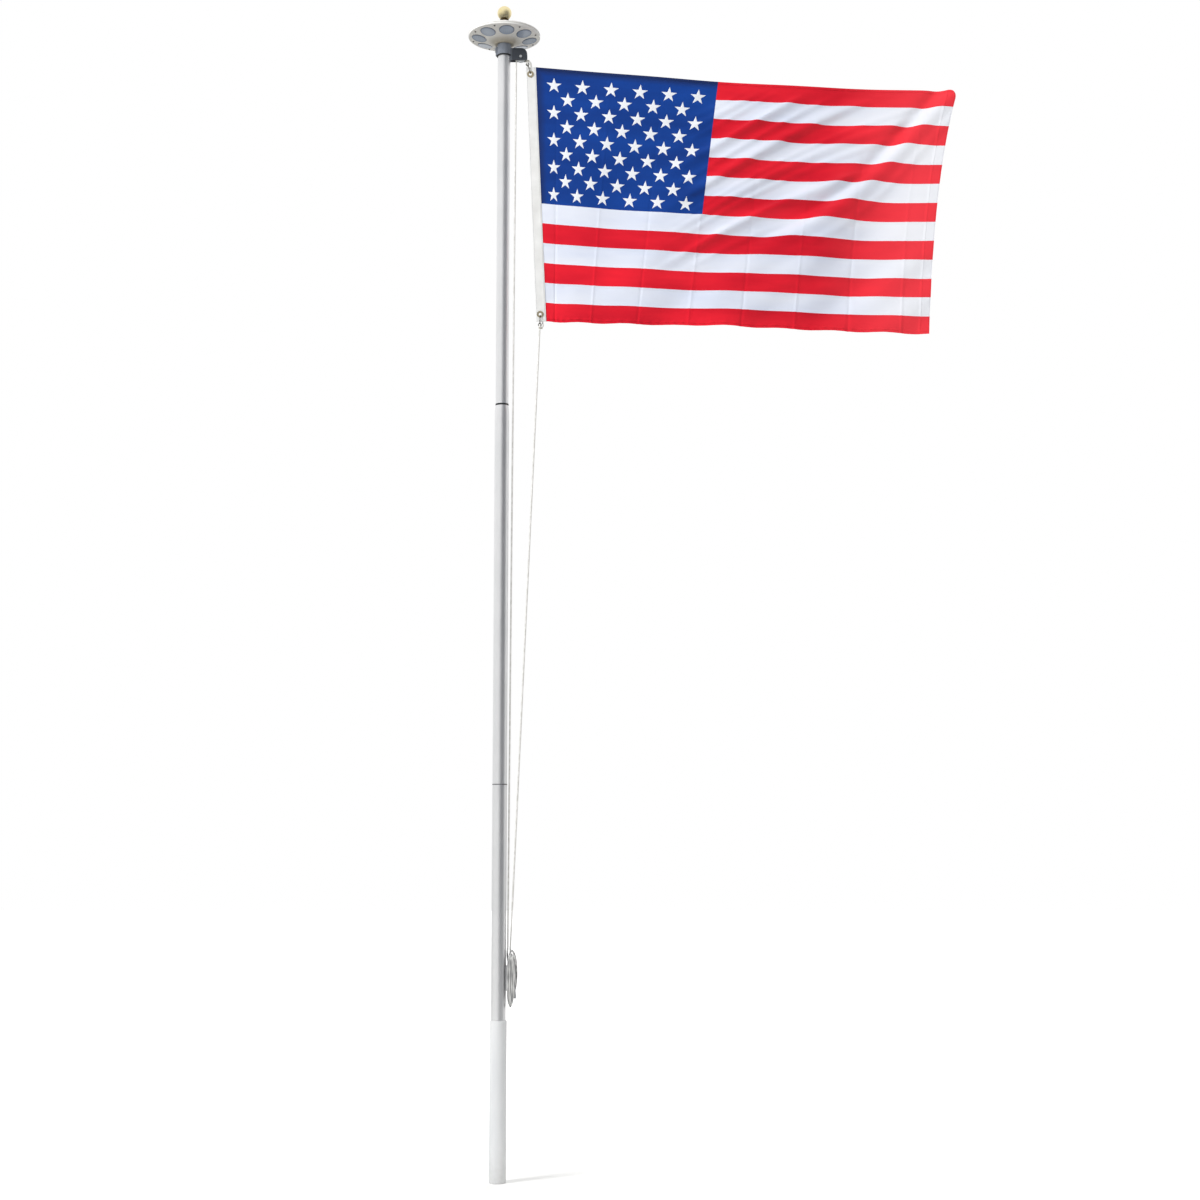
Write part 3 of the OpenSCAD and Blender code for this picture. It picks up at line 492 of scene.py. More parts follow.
# %% Bind the strands at both hooks
twine = finish("waxed_twine", "#D6D2C6", 0.55, Sheen_Weight=0.15)
twine_place = add(twine, "TexCoord", {}).outputs["Object"]
twine_grain = add(twine, "TexNoise", {"Vector": twine_place, "Scale": 900, "Detail": 2})
twine_tint = add(twine, "ValToRGB", {0: twine_grain, "stops": [(0.3, "#BDB8A8"),
                                                               (0.7, "#DEDACE")]})
into(twine, Base_Color=twine_tint,
     Normal=add(twine, "Bump", {"Height": twine_grain, "Strength": 0.4, "Distance": 0.1 * MM}))
TWINE_D = 0.9 * MM
TWINE_TURNS = 6
for name, bend, turn, side in (("upper_whipping", upper_bend, upper_turn, 1),
                               ("lower_whipping", lower_bend, lower_turn, -1)):
    start()
    up = Vector((math.sin(turn), 0, math.cos(turn)))
    across = Vector((side * math.cos(turn), 0, -side * math.sin(turn)))
    first = Vector(flat(step_from(bend, turn, seizing_at + seizing_h / 2)))
    first -= up * TWINE_D * 0.4 * TWINE_TURNS
    bpy.ops.mesh.primitive_torus_add(major_radius=rope_r + TWINE_D / 2, minor_radius=TWINE_D / 2,
                                     major_segments=28, minor_segments=8,
                                     location=first, rotation=(0, turn, 0))
    ring = settle(name, twine)
    bpy.ops.object.mode_set(mode="EDIT")
    bpy.ops.mesh.select_all(action="DESELECT")
    bpy.ops.object.mode_set(mode="OBJECT")
    for vertex in ring.data.vertices:
        vertex.select = (vertex.co - first).dot(across) > 1e-6
    bpy.ops.object.mode_set(mode="EDIT")
    bpy.ops.transform.translate(value=across * strand_gap)
    bpy.ops.object.mode_set(mode="OBJECT")
    stack = ring.modifiers.new("turns", "ARRAY")
    stack.count = TWINE_TURNS
    stack.use_relative_offset, stack.use_constant_offset = False, True
    stack.constant_offset_displace = up * TWINE_D * 0.95
    bpy.ops.object.modifier_apply(modifier="turns")
    bpy.ops.object.shade_smooth()
    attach(ring, "pole")
    print(name, "has", len(ring.data.polygons), "faces")

# %% [markdown]
# ## Daylight in a white room
# A plain bright room: a white surround that the camera, metal and glass see at full strength,
# but which lights the rest at about a third, three large soft lamps, left, right and behind,
# and a pale floor. A tall grey card stands before the flag, hidden from the camera, so that
# the tubes mirror it as one dark streak, as metal does in a real room.

# %% The white surround
AMBIENT = 0.36
world = bpy.data.worlds.new("white room")
bpy.context.scene.world = world
world.use_nodes = True
rays = add(world, "LightPath", {})
seen = rays.outputs["Is Camera Ray"]
for ray in ("Is Glossy Ray", "Is Transmission Ray"):
    seen = add(world, "Math", {"operation": "MAXIMUM", 0: seen, 1: rays.outputs[ray]})
level = add(world, "MapRange", {0: seen, "To Min": AMBIENT, "To Max": 1.0})
background = world.node_tree.nodes["Background"]
background.inputs["Color"].default_value = (1, 1, 1, 1)
world.node_tree.links.new(level.outputs[0], background.inputs["Strength"])
bpy.context.scene.view_settings.view_transform = "Standard"


# %% Lamps, floor and card
def lamp(name, place, goal, wide, tall, power):
    """A soft rectangular lamp that faces a goal and isn't mirrored in the metal."""
    data = bpy.data.lights.new(name, "AREA")
    data.shape = "RECTANGLE"
    data.size, data.size_y, data.energy = wide, tall, power
    light = bpy.data.objects.new(name, data)
    light.location = place
    light.rotation_euler = (Vector(goal) - Vector(place)).to_track_quat("-Z", "Y").to_euler()
    light.visible_glossy = False
    bpy.context.scene.collection.objects.link(light)


lamp("soft left", (-4.6, -3.6, 6.4), (0.6, 0, 2.8), 2.0, 3.0, 430)
lamp("soft right", (5.5, -6.5, 2.0), (0.6, 0, 2.6), 2.5, 4.0, 60)
lamp("soft behind", (1.5, 6.0, 5.0), (0.5, 0, 2.4), 3.0, 3.0, 200)

start()
bpy.ops.mesh.primitive_plane_add(size=60, location=(0.5, 0, 0))
floor_finish = finish("pale_floor", "#F4F4F2", 0.9, Emission_Color=(1, 1, 1, 1))
floor_rays = add(floor_finish, "LightPath", {})
floor_place = add(floor_finish, "TexCoord", {}).outputs["Object"]
floor_far = add(floor_finish, "VectorMath", {"operation": "LENGTH", 0: floor_place})
floor_pale = add(floor_finish, "MapRange", {0: floor_far.outputs[1], "From Min": 0.2,
                                            "From Max": 2.0, "To Min": 0.25, "To Max": 1.0})
floor_glow = add(floor_finish, "Math", {"operation": "MULTIPLY", 1: floor_pale,
                                        0: floor_rays.outputs["Is Camera Ray"]})
into(floor_finish, Emission_Strength=floor_glow)
floor = settle("floor", floor_finish)

start()
bpy.ops.mesh.primitive_plane_add(size=1, location=(1.93, -2.3, 2.9),
                                 rotation=(math.radians(90), 0, math.radians(40)))
bpy.context.object.scale = (5.0, 6.0, 1)
card = settle("dark_card", finish("grey_card", "#7E8084", 0.9))
card.visible_camera = False
card.visible_diffuse = False
card.visible_shadow = False
print("room ready")

# %% [markdown]
# ## Metals
# The tubes are drawn aluminium with a clear satin anodised coat: a mirror blurred along its
# length by fine die lines. The truck's pins are zinc plated steel, the ball and its stem gold
# anodised aluminium, the hooks nickel plated steel toned dark, a painted reflection of darker
# surroundings. All could be one plain shader with the metal's colour, but an even gloss looks
# like plastic. So one noise, at the size of each metal's grain, moves the gloss a little and
# stands the surface in relief.

# %% Drawn and anodised aluminium
def grained(material, stretch, size, strength, depth, low, high):
    """Fine relief and a slight change of gloss, stretched along the axes given."""
    place = add(material, "TexCoord", {}).outputs["Object"]
    drawn = add(material, "Mapping", {0: place, "Scale": stretch})
    grain = add(material, "TexNoise", {"Vector": drawn, "Scale": 1 / size, "Detail": 4,
                                       "Roughness": 0.6})
    gloss = add(material, "MapRange", {0: grain, "To Min": low, "To Max": high})
    into(material, Roughness=gloss,
         Normal=add(material, "Bump", {"Height": grain, "Strength": strength,
                                       "Distance": depth}))
    return place, grain


def toned(material, factor, dark, light):
    """The colour of a finish, from its darkest tone to its lightest."""
    into(material, Base_Color=add(material, "ValToRGB", {
        0: factor, "stops": [(0.3, dark), (0.7, light)]}))


pole_metal = finish("satin_anodised_aluminium", "#E4E5E7", 0.42, Metallic=1.0)
pole_place, _ = grained(pole_metal, (1, 1, 0.02), 3 * MM, 0.2, 0.05 * MM, 0.38, 0.46)
pole_cloud = add(pole_metal, "TexNoise", {      # clouds in the coat, a hand's breadth across
    "Vector": pole_place, "Scale": 7, "Detail": 5})
toned(pole_metal, pole_cloud, "#E8E9EA", "#F0F0F1")
dress(pole_metal, "lower_tube", "middle_tube", "top_tube")

black_steel = finish("blackened_steel", "#3A3A3E", 0.5, Metallic=1.0)
grained(black_steel, (1, 1, 1), 1 * MM, 0.3, 0.05 * MM, 0.4, 0.6)
dress(black_steel, "pan_screws")

# %% Plated, cast and pressed metals
# Each: its name, how metallic, its grain's size in mm, strength and depth in mm, its lowest and
# highest roughness, its darkest and lightest tone, and the parts made of it
for name, metallic, size, strength, depth, low, high, dark, light, parts in (
        ("zinc_plated_steel", 1, 1.2, 0.3, 0.05, 0.3, 0.48, "#B4B6B8", "#D0D2D3",
         ("truck_clamp_screw", "sheave_axle", "axle_nut", "cleat_screws", "finial_spindle")),
        ("gold_anodised_aluminium", 1, 6, 0.15, 0.1, 0.4, 0.5, "#F6E5AE", "#FCF0C6",
         ("finial_ball", "finial_stem")),
        ("darkened_bronze", 1, 3, 0.3, 0.1, 0.32, 0.5, "#3C301B", "#5C4A2C", ("finial_collar",)),
        ("sand_cast_aluminium", 0.85, 0.9, 0.6, 0.2, 0.42, 0.62, "#B4B6B9", "#D5D7D9",
         ("cleat",)),
        # Painted reflection: the hooks' nickel is toned dark, for the darker surroundings it
        # mirrors
        ("dark_nickel_plate_painted_reflection", 1, 1.5, 0.2, 0.05, 0.26, 0.44, "#57554F", "#86837A",
         ("upper_snap_hook", "lower_snap_hook", "upper_snap_gate", "lower_snap_gate")),
        ("pressed_brass", 1, 2, 0.25, 0.08, 0.24, 0.42, "#A89A7C", "#C6BA9F",
         ("upper_grommet", "lower_grommet"))):
    metal = finish(name, light, (low + high) / 2, Metallic=metallic)
    _, metal_grain = grained(metal, (1, 1, 1), size * MM, strength, depth * MM, low, high)
    toned(metal, metal_grain, dark, light)
    dress(metal, *parts)
print("metals ready")

# %% [markdown]
# ## Plastics and rubber
# The sleeve is extruded white PVC, scuffed by soil near its foot. The truck is moulded
# glass-filled nylon, slightly mottled, with painted light on its round skirt and painted shade on
# its cheeks. The pulley wheel is paler acetal. The light's housing is outdoor plastic that has
# weathered in specks, with painted shade in the hollow round its neck and painted light on its
# rim and dome.

# %% PVC sleeve
pvc = finish("extruded_white_pvc", "#E6E7E9", 0.42, Coat_Weight=0.1)
pvc_place = add(pvc, "TexCoord", {}).outputs["Object"]
pvc_tall = add(pvc, "Mapping", {0: pvc_place, "Scale": (1, 1, 0.15)})
pvc_cloud = add(pvc, "TexNoise", {"Vector": pvc_tall, "Scale": 25, "Detail": 5})
pvc_tint = add(pvc, "ValToRGB", {0: pvc_cloud, "stops": [(0.35, "#EAECEE"), (0.65, "#F4F5F6")]})
pvc_height = add(pvc, "SeparateXYZ", {0: pvc_place})
pvc_low = add(pvc, "MapRange", {0: pvc_height.outputs[2], "From Min": 0.0, "From Max": 0.12,
                                "To Min": 0.3, "To Max": 0.0})
pvc_soil = add(pvc, "TexNoise", {"Vector": pvc_place, "Scale": 90, "Detail": 6})
pvc_worn = add(pvc, "Math", {"operation": "MULTIPLY", 0: pvc_low, 1: pvc_soil})
pvc_colour = add(pvc, "Mix", {"data_type": "RGBA", 0: pvc_worn, 6: pvc_tint,
                              7: linear("#A39C8E")})
into(pvc, Base_Color=pvc_colour.outputs[2],
     Normal=add(pvc, "Bump", {"Height": pvc_cloud, "Strength": 0.15, "Distance": 0.2 * MM}))
dress(pvc, "ground_sleeve", "sleeve_end_cap")


# %% Moulded parts
def moulded(name, dark, light, roughness, spark):
    """Plastic with a slight mottle and the fine texture of its mould, spark in size."""
    material = finish(name, light, roughness)
    place = add(material, "TexCoord", {}).outputs["Object"]
    mottle = add(material, "TexNoise", {"Vector": place, "Scale": 55, "Detail": 6,
                                        "Roughness": 0.65})
    texture = add(material, "TexNoise", {"Vector": place, "Scale": 1 / spark, "Detail": 2})
    toned(material, mottle, dark, light)
    into(material, Normal=add(material, "Bump", {"Height": texture, "Strength": 0.35,
                                                 "Distance": 0.12 * MM}))
    return material


def tinted(material, mask, card):
    """Mixes a colour into the finish's present one, by a mask."""
    shader = material.node_tree.nodes["Principled BSDF"]
    present = shader.inputs["Base Color"].links[0].from_socket
    into(material, Base_Color=add(material, "Mix", {
        "data_type": "RGBA", 0: mask, 6: present, 7: linear(card)}).outputs[2])


for name, dark, light, roughness, spark, parts in (
        ("natural_acetal", "#C4C8CC", "#D6D9DC", 0.35, 1.0, ("sheave",)),
        # Painted shade: the truck seal is a black ring set in the shaded groove under the skirt
        ("black_epdm_rubber", "#17181A", "#26272A", 0.62, 0.6, ("upper_joint_ring",
                                                                "truck_seal")),
        ("pale_silicone", "#CFCFCC", "#DEDEDB", 0.5, 0.8, ("rim_gasket",)),
        ("grey_nylon_ring", "#4A4C50", "#5C5E63", 0.5, 0.8, ("lower_joint_ring",)),
        # Painted light: the dome is whiter than the pan's underside, for its lit top
        ("white_housing_painted_light", "#E9E7E2", "#F4F3F0", 0.45, 1.1, ("light_dome",))):
    dress(moulded(name, dark, light, roughness, spark * MM), *parts)

# %% The truck, with painted light on its skirt and painted shade on its cheeks
# Painted light: these tones are lighter than the dark grey of the moulding, for the lit skirt
truck_nylon = moulded("glass_filled_nylon", "#6E747E", "#868C97", 0.34, 0.8 * MM)
truck_place = add(truck_nylon, "TexCoord", {}).outputs["Object"]
truck_side = add(truck_nylon, "SeparateXYZ", {0: truck_place}).outputs[0]
# Painted shade: from 22 mm out in x the cheeks are tinted darker than the skirt
tinted(truck_nylon, add(truck_nylon, "MapRange", {
    0: truck_side, "From Min": 22 * MM, "From Max": 30 * MM}), "#32373F")
dress(truck_nylon, "truck_body")

# %% The light's weathered pan, with painted shade and painted light
def round_axis(material, place):
    """Each point's angle round the pole's axis, and its distance from it."""
    axes = add(material, "SeparateXYZ", {0: place})
    angle = add(material, "Math", {"operation": "ARCTAN2", 0: axes.outputs[1], 1: axes.outputs[0]})
    level = add(material, "VectorMath", {"operation": "MULTIPLY", 0: place, 1: (1, 1, 0)})
    return angle, add(material, "VectorMath", {"operation": "LENGTH", 0: level}).outputs[1]


housing = moulded("weathered_housing_light_and_shade", "#C8C6C1", "#DCDAD5", 0.5, 1.1 * MM)
housing_place = add(housing, "TexCoord", {}).outputs["Object"]
_, housing_far = round_axis(housing, housing_place)
housing_height = add(housing, "SeparateXYZ", {0: housing_place}).outputs[2]
specks = add(housing, "TexVoronoi", {"Vector": housing_place, "Scale": 1 / (9 * MM)})
for value, low, high, at_low, at_high, card in (
        # Painted shade: the hollow round the neck, out to 62 mm, is tinted dull brown
        (housing_far, 32 * MM, 62 * MM, 0.75, 0.0, "#857A60"),        # dull round the neck
        (specks, 0.05, 0.2, 0.3, 0.0, "#A58F7C"),                     # specks
        # Painted light: the rim and all above it are tinted white, for the lit top
        (housing_height, light_rim_z - 6 * MM, light_rim_z - 4 * MM, 0.0, 1.0, "#F0EFEC")):
    tinted(housing, add(housing, "MapRange", {0: value, "From Min": low, "From Max": high,
                                              "To Min": at_low, "To Max": at_high}), card)
dress(housing, "light_pan")

# %% [markdown]
# ## Lenses
# Eight round lenses of frosted polycarbonate cover the lamps. Each is darker at its rim,
# where the thick edge bends the light away, and shows its small lamps as a faint dotted
# pattern. The pattern is folded eight times round the pole's axis, so one lens serves all.

# %% Frosted polycarbonate
LENS_COUNT, LENS_RING_R, LENS_R = 8, 90 * MM, 27 * MM
FIRST_LENS = math.radians(82)
lens = finish("frosted_polycarbonate", "#8F9AAB", 0.22, Coat_Weight=0.5, Coat_Roughness=0.12)
lens_place = add(lens, "TexCoord", {}).outputs["Object"]
lens_turned = add(lens, "Mapping", {0: lens_place, "Rotation": (0, 0, FIRST_LENS)})
lens_angle, lens_reach = round_axis(lens, lens_turned)
lens_fold = add(lens, "Math", {"operation": "WRAP", 0: lens_angle,
                               1: math.pi / LENS_COUNT, 2: -math.pi / LENS_COUNT})
lens_x, lens_y = (
    add(lens, "Math", {"operation": "MULTIPLY", 0: lens_reach,
                       1: add(lens, "Math", {"operation": share, 0: lens_fold})})
    for share in ("COSINE", "SINE"))
lens_out = add(lens, "Math", {"operation": "SUBTRACT", 0: lens_x, 1: LENS_RING_R})
lens_local = add(lens, "CombineXYZ", {0: lens_out, 1: lens_y})
lens_from = add(lens, "VectorMath", {"operation": "LENGTH", 0: lens_local}).outputs[1]
lens_rim = add(lens, "ValToRGB", {
    0: add(lens, "MapRange", {0: lens_from, "From Max": LENS_R}),
    "stops": [(0.0, "#9AA5B5"), (0.80, "#8D98A9"), (0.93, "#6E7887"), (1.0, "#5B6472")]})
lens_dots = add(lens, "TexVoronoi", {"Vector": lens_local, "Scale": 1 / (7 * MM),
                                     "Randomness": 0.0})
lens_lamps = add(lens, "MapRange", {0: lens_dots, "From Min": 0.1, "From Max": 0.3,
                                    "To Min": 0.28, "To Max": 0.0})
lens_inner = add(lens, "MapRange", {0: lens_from, "From Min": 18 * MM, "From Max": 21 * MM,
                                    "To Min": 1.0, "To Max": 0.0})
lens_mask = add(lens, "Math", {"operation": "MULTIPLY", 0: lens_lamps, 1: lens_inner})
lens_colour = add(lens, "Mix", {"data_type": "RGBA", 0: lens_mask, 6: lens_rim,
                                7: linear("#D9D3A8")})
into(lens, Base_Color=lens_colour.outputs[2],
     Normal=add(lens, "Bump", {"Height": lens_dots, "Strength": 0.15, "Distance": 0.3 * MM}))
dress(lens, "lamp_lenses")

# %% [markdown]
# ## Solar cells
# The ring on top holds dark blue silicon cells under a glossy cover. They are laid out round
# the axis: wide gaps between the cells, thin silver fingers across each and two thicker
# busbars round the ring.

# %% Silicon cells under a cover
cells = finish("silicon_cells", "#141C3A", 0.12, Coat_Weight=1.0, Coat_Roughness=0.04)
cells_place = add(cells, "TexCoord", {}).outputs["Object"]
cells_angle, cells_far = round_axis(cells, cells_place)
CELL_TURN = 2 * math.pi / 16
FINGERS = 12


def striped(material, value, period, share, low, high):
    """A mask of thin lines: low between them and high on them."""
    wave = add(material, "Math", {"operation": "PINGPONG", 0: value, 1: period / 2})
    return add(material, "MapRange", {0: wave, "From Min": period * share * 0.4,
                                      "From Max": period * share * 0.6,
                                      "To Min": high, "To Max": low})


cell_gaps = striped(cells, cells_angle, CELL_TURN, 0.05, 0, 1)
cell_fingers = striped(cells, cells_angle, CELL_TURN / FINGERS, 0.12, 0, 0.35)
cell_bars = striped(cells, cells_far, 26 * MM, 0.09, 0, 0.8)
cell_lines = add(cells, "Math", {"operation": "MAXIMUM", 0: cell_fingers, 1: cell_bars})
cell_cloud = add(cells, "TexVoronoi", {"Vector": cells_place, "Scale": 90})
cell_tint = add(cells, "ValToRGB", {0: cell_cloud, "stops": [(0.1, "#101734"), (0.9, "#1E2A55")]})
cell_silver = add(cells, "Mix", {"data_type": "RGBA", 0: cell_lines, 6: cell_tint,
                                 7: linear("#AEB4BC")})
cell_colour = add(cells, "Mix", {"data_type": "RGBA", 0: cell_gaps, 6: cell_silver.outputs[2],
                                 7: linear("#C9CCD0")})
into(cells, Base_Color=cell_colour.outputs[2])
dress(cells, "solar_panel")
print("plastics and cells ready")

# %% [markdown]
# ## The flag's cloth
# The flag is woven nylon, cut 1.505 m by 0.928 m and hung by its hoist edge in still air. The
# fly half sinks and the lower edge swings in, so the threads lean. One long fold runs up to the
# fly's top corner, with a fan of smaller ones before it, and the creases of its packing still
# show as faint upright lines. Its edges are known better than the forces on it, so the shape is
# written as sums and not left to a simulation: first the leaning sheet, then its folds.

# %% The cut cloth
FLY = 1505 * MM
TOP_STRIPE, STRIPE = 68 * MM, 72 * MM
CANTON_U, CANTON_V = 650 * MM, TOP_STRIPE + 6 * STRIPE
CORNER_R = 38 * MM
CREASES = [(75 + 190 * i) * MM for i in range(8)]
# The long fold from low in the middle up to the fly's top corner, in metres across and down
LONG_FOLD = np.array([(0.72, 0.67), (0.92, 0.57), (1.05, 0.50), (1.15, 0.43), (1.29, 0.28),
                      (1.38, 0.14), (1.45, 0.04), (1.51, -0.08)])
fold_path = even_route(np.column_stack([LONG_FOLD, np.zeros(len(LONG_FOLD))]), 20 * MM,
                       160 * MM)[:, :2]
fold_way = np.gradient(fold_path, axis=0)
fold_way /= np.linalg.norm(fold_way, axis=1)[:, None]


def smooth_step(x, low, high):
    """0 up to low, 1 from high on, and a smooth rise between them."""
    t = np.clip((x - low) / (high - low), 0, 1)
    return t * t * (3 - 2 * t)


def hump(x, middle, width):
    """A smooth hump, 1 high."""
    return np.exp(-((x - middle) / width) ** 2)


def wave(x, length, shift=0.0):
    """A row of even waves, 1 high."""
    return np.sin(2 * math.pi * x / length + shift)


def from_long_fold(across, down):
    """Distance from the long fold, plus on its fly side, and how far along it, 0 to 1."""
    apart = np.stack([across, down], -1)[..., None, :] - fold_path
    nearest = (apart ** 2).sum(-1).argmin(-1)
    gap = np.take_along_axis(apart, nearest[..., None, None], -2)[..., 0, :]
    way = fold_way[nearest]
    return gap[..., 1] * way[..., 0] - gap[..., 0] * way[..., 1], nearest / (len(fold_path) - 1)


def round_corner(across, down):
    """Draws the fly's top corner in to a rounded one, where the cloth curls."""
    p = np.clip((across - FLY) / CORNER_R + 1, 0, 1)
    q = np.clip(1 - down / CORNER_R, 0, 1)
    both = (p > 0) & (q > 0)
    return (np.where(both, FLY + CORNER_R * (p * np.sqrt(1 - q * q / 2) - 1), across),
            np.where(both, CORNER_R * (1 - q * np.sqrt(1 - p * p / 2)), down))


# %% [markdown]
# ## The leaning sheet
# Seen flat on, the cloth is a sheet whose threads lean: its top edge falls away from the
# hoist and levels out past the field, where BEND_U is, and its upright threads turn in
# towards the pole below. The fly's end drops and draws in a little.

# %% Where a thread lies, seen flat on
BEND_U, BEND_SOFT = 0.42, 0.09


def leaning_sheet(across, down):
    """x and z of the cloth, before its folds."""
    u, v = across / FLY, down / flag_hoist
    lean = np.tan(np.radians(-7.2 + 9.6 * np.exp(-u / 0.15)))
    early = (1 - np.exp(-v / 0.55)) / (1 - math.exp(-1 / 0.55))
    swings_early = smooth_step(u, 0.3, 1.0)
    swing = v * (1 - swings_early) + early * swings_early
    x = hoist_x + 35.4 * MM + u * 1502 * MM + flag_hoist * swing * lean
    steep = np.tan(np.radians(4.8 - 0.2 * v - 3.4 * v ** 3))
    level = np.tan(np.radians(2.4 - 1.6 * v + 1.1 * v ** 2))
    turn, begun = (u - BEND_U) / BEND_SOFT, BEND_U / BEND_SOFT
    past = 0.5 * (u + BEND_SOFT * (np.logaddexp(turn, -turn) - np.logaddexp(-begun, begun)))
    z = flag_top_z - down - FLY * (1 - 0.11 * v) * (steep * (u - past) + level * past)
    z = z - 6 * MM * hump(u, 0.68, 0.16) * (1 - v)             # a slight sag past the field
    z = z - 9 * MM * smooth_step(u, 0.55, 1.0) * v ** 3        # the lower corner drops
    end = smooth_step(u, 0.75, 1.0)
    return x - 11 * MM * end, z - 11 * MM * end * (1 - 0.4 * v)


# %% [markdown]
# ## Its folds
# The folds mostly move the cloth towards the viewer or away, which is y. Long waves come
# first, then the long fold with the hollow behind it, the fan of small folds that run up to
# it, and last the creases of packing and the pucker of the hems.

# %% The folds added
def hung(across, down):
    """Where a point of the cloth hangs: metres from its hoist edge and from its top."""
    across, down = np.broadcast_arrays(np.asarray(across, float), np.asarray(down, float))
    across, down = round_corner(across, down)
    u, v = across / FLY, down / flag_hoist
    x, z = leaning_sheet(across, down)
    off, run = from_long_fold(across, down)
    held = smooth_step(run, 0.0, 0.35)
    # The stripes step up where they cross the long fold, and the lower edge is puckered
    kink = held * smooth_step(off, -12 * MM, 42 * MM) * hump(np.maximum(off, 0), 0, 0.08)
    z = z + 8 * MM * kink * (0.4 + 0.6 * smooth_step(v, 0.03, 0.2))
    z = z + 1.5 * MM * v ** 12 * wave(across, 0.19, 0.8)
    # Long waves, and the fly curling towards the viewer
    y = 14 * MM * u * (1 - smooth_step(u, 0.75, 1)) * (0.6 + 0.4 * v)
    y = y * wave(across * 0.8 + down * 0.6, 0.43)
    y = y - 112 * MM * smooth_step(u, 0.7, 1.3) ** 1.5
    y = y - 3 * MM * smooth_step(v, 0.5, 0.75) * u * wave(across * 0.7 + down * 0.7, 0.13)
    y = y + 4 * MM * v * wave(across, 0.31, 2.0 * v) * smooth_step(u, 0, 0.2)
    # The long fold: its crest, the hollow on its hoist side and a thin second crest
    y = y - held * 13 * MM * hump(off, 30 * MM, 38 * MM)
    y = y + held * 11 * MM * hump(off, -26 * MM, 26 * MM)
    y = y - held * 4 * MM * hump(off, 88 * MM, 16 * MM)
    # The fan: sharp crests at two spacings, on the long fold's hoist side
    fan = smooth_step(u, 0.3, 0.5) * smooth_step(v, 0.0, 0.12) * (1 - smooth_step(v, 0.7, 0.95))
    fan = fan * (1 - smooth_step(off, -0.06, 0.02))
    slant = across * 0.5 + down * 0.87 + 0.03 * np.sin(7 * across + 4 * down)
    for high, apart, sharp, shift in ((11, 118, 2.0, 0), (6, 71, 2.6, 1)):
        crest = np.cos(2 * math.pi * slant / (apart * MM) + shift)
        y = y - high * MM * fan * np.exp(-sharp * (1 + crest))
    # Packing: flat panels meeting at upright creases, and two level ones
    panel = (across - CREASES[0]) / (CREASES[1] - CREASES[0])
    y = y + 2.2 * MM * v * np.abs(panel % 2 - 1)
    for i, place in enumerate(CREASES):
        y = y + 1.8 * MM * (-1) ** i * hump(across, place, 4 * MM) * (0.15 + 0.85 * v ** 1.5)
    y = y + 0.9 * MM * hump(down, 0.31, 6 * MM)
    short = smooth_step(across, 0.82, 0.86) * (1 - smooth_step(across, 0.99, 1.03))
    y = y - 1.8 * MM * short * hump(down, 0.752, 5 * MM)
    hem = hump(down, flag_hoist - 9 * MM, 9 * MM)
    y = y + 1.0 * MM * hem * wave(across, 0.038, 3 * np.sin(11 * across))
    return np.stack([x, y, z], -1)


def cloth_way_out(across, down):
    """The cloth's unit normal, towards -Y."""
    h = 1e-4
    way = np.cross(hung(np.asarray(across) + h, down) - hung(np.asarray(across) - h, down),
                   hung(across, np.asarray(down) + h) - hung(across, np.asarray(down) - h))
    way /= np.linalg.norm(way, axis=-1)[..., None]
    return way * np.sign(-way[..., 1:2])


print("fly corner hangs at", hung(FLY, 0).round(3), "and", hung(FLY, flag_hoist).round(3))

# %% [markdown]
# ## A grid moved onto the shape
# A grid primitive is added, and each of its points is moved to its place on the hung cloth.
# Its lines aren't even: two lie close beside each seam, hem and crease, so that those stay
# crisp. A group of points says how thick the cloth is, doubled at seams and hems, and a
# Solidify modifier gives it its two faces.

# %% The grid's lines
HEM, FLY_HEM, LAP = 12 * MM, 35 * MM, 3 * MM
BESIDE = 1 * MM           # from a hem's edge to the next line
NEXT_TO_LAP = LAP + 0.6 * MM
down_lines = [0, HEM]
seams = [TOP_STRIPE + STRIPE * i for i in range(12)]
previous = HEM + BESIDE
for seam in seams:
    down_lines += list(np.linspace(previous, seam - NEXT_TO_LAP, 9))
    down_lines += [seam - LAP, seam, seam + LAP]
    previous = seam + NEXT_TO_LAP
down_lines += list(np.linspace(previous, flag_hoist - HEM - BESIDE, 9))
down_lines = np.array(down_lines + [flag_hoist - HEM, flag_hoist])
across_lines = list(np.arange(0, FLY - FLY_HEM - 2 * BESIDE, 7.5 * MM))
across_lines += [place + off * MM for place in CREASES for off in (-7, -3.5, 0, 3.5, 7)]
across_lines = np.unique(np.round(across_lines, 5))
apart = np.diff(across_lines, prepend=-1) > 2 * MM
across_lines = np.concatenate([across_lines[apart & (across_lines < FLY - FLY_HEM - 2 * BESIDE)],
                               [FLY - FLY_HEM - BESIDE], np.linspace(FLY - FLY_HEM, FLY, 8)])

# %% The cloth, its thickness and its own map
start()
bpy.ops.mesh.primitive_grid_add(x_subdivisions=len(across_lines) - 1,
                                y_subdivisions=len(down_lines) - 1, size=1)
nylon = finish("woven_nylon", "#E01B2D", 0.5, Specular_IOR_Level=0.3)
cloth = settle("flag_cloth_nylon", nylon)
grid_across, grid_down = np.meshgrid(across_lines, down_lines)
cloth.data.vertices.foreach_set("co", hung(grid_across, grid_down).ravel())
thick = np.full(grid_across.shape, 0.4)
thick[(grid_down <= HEM) | (grid_down >= flag_hoist - HEM)] = 1.0
thick[grid_across >= FLY - FLY_HEM] = 1.0
for seam in seams:
    past_canton = (seam > CANTON_V) | (grid_across > CANTON_U - 1 * MM)
    thick[(abs(grid_down - seam) <= LAP + 1e-6) & past_canton] = 0.75
group = cloth.vertex_groups.new(name="thickness")
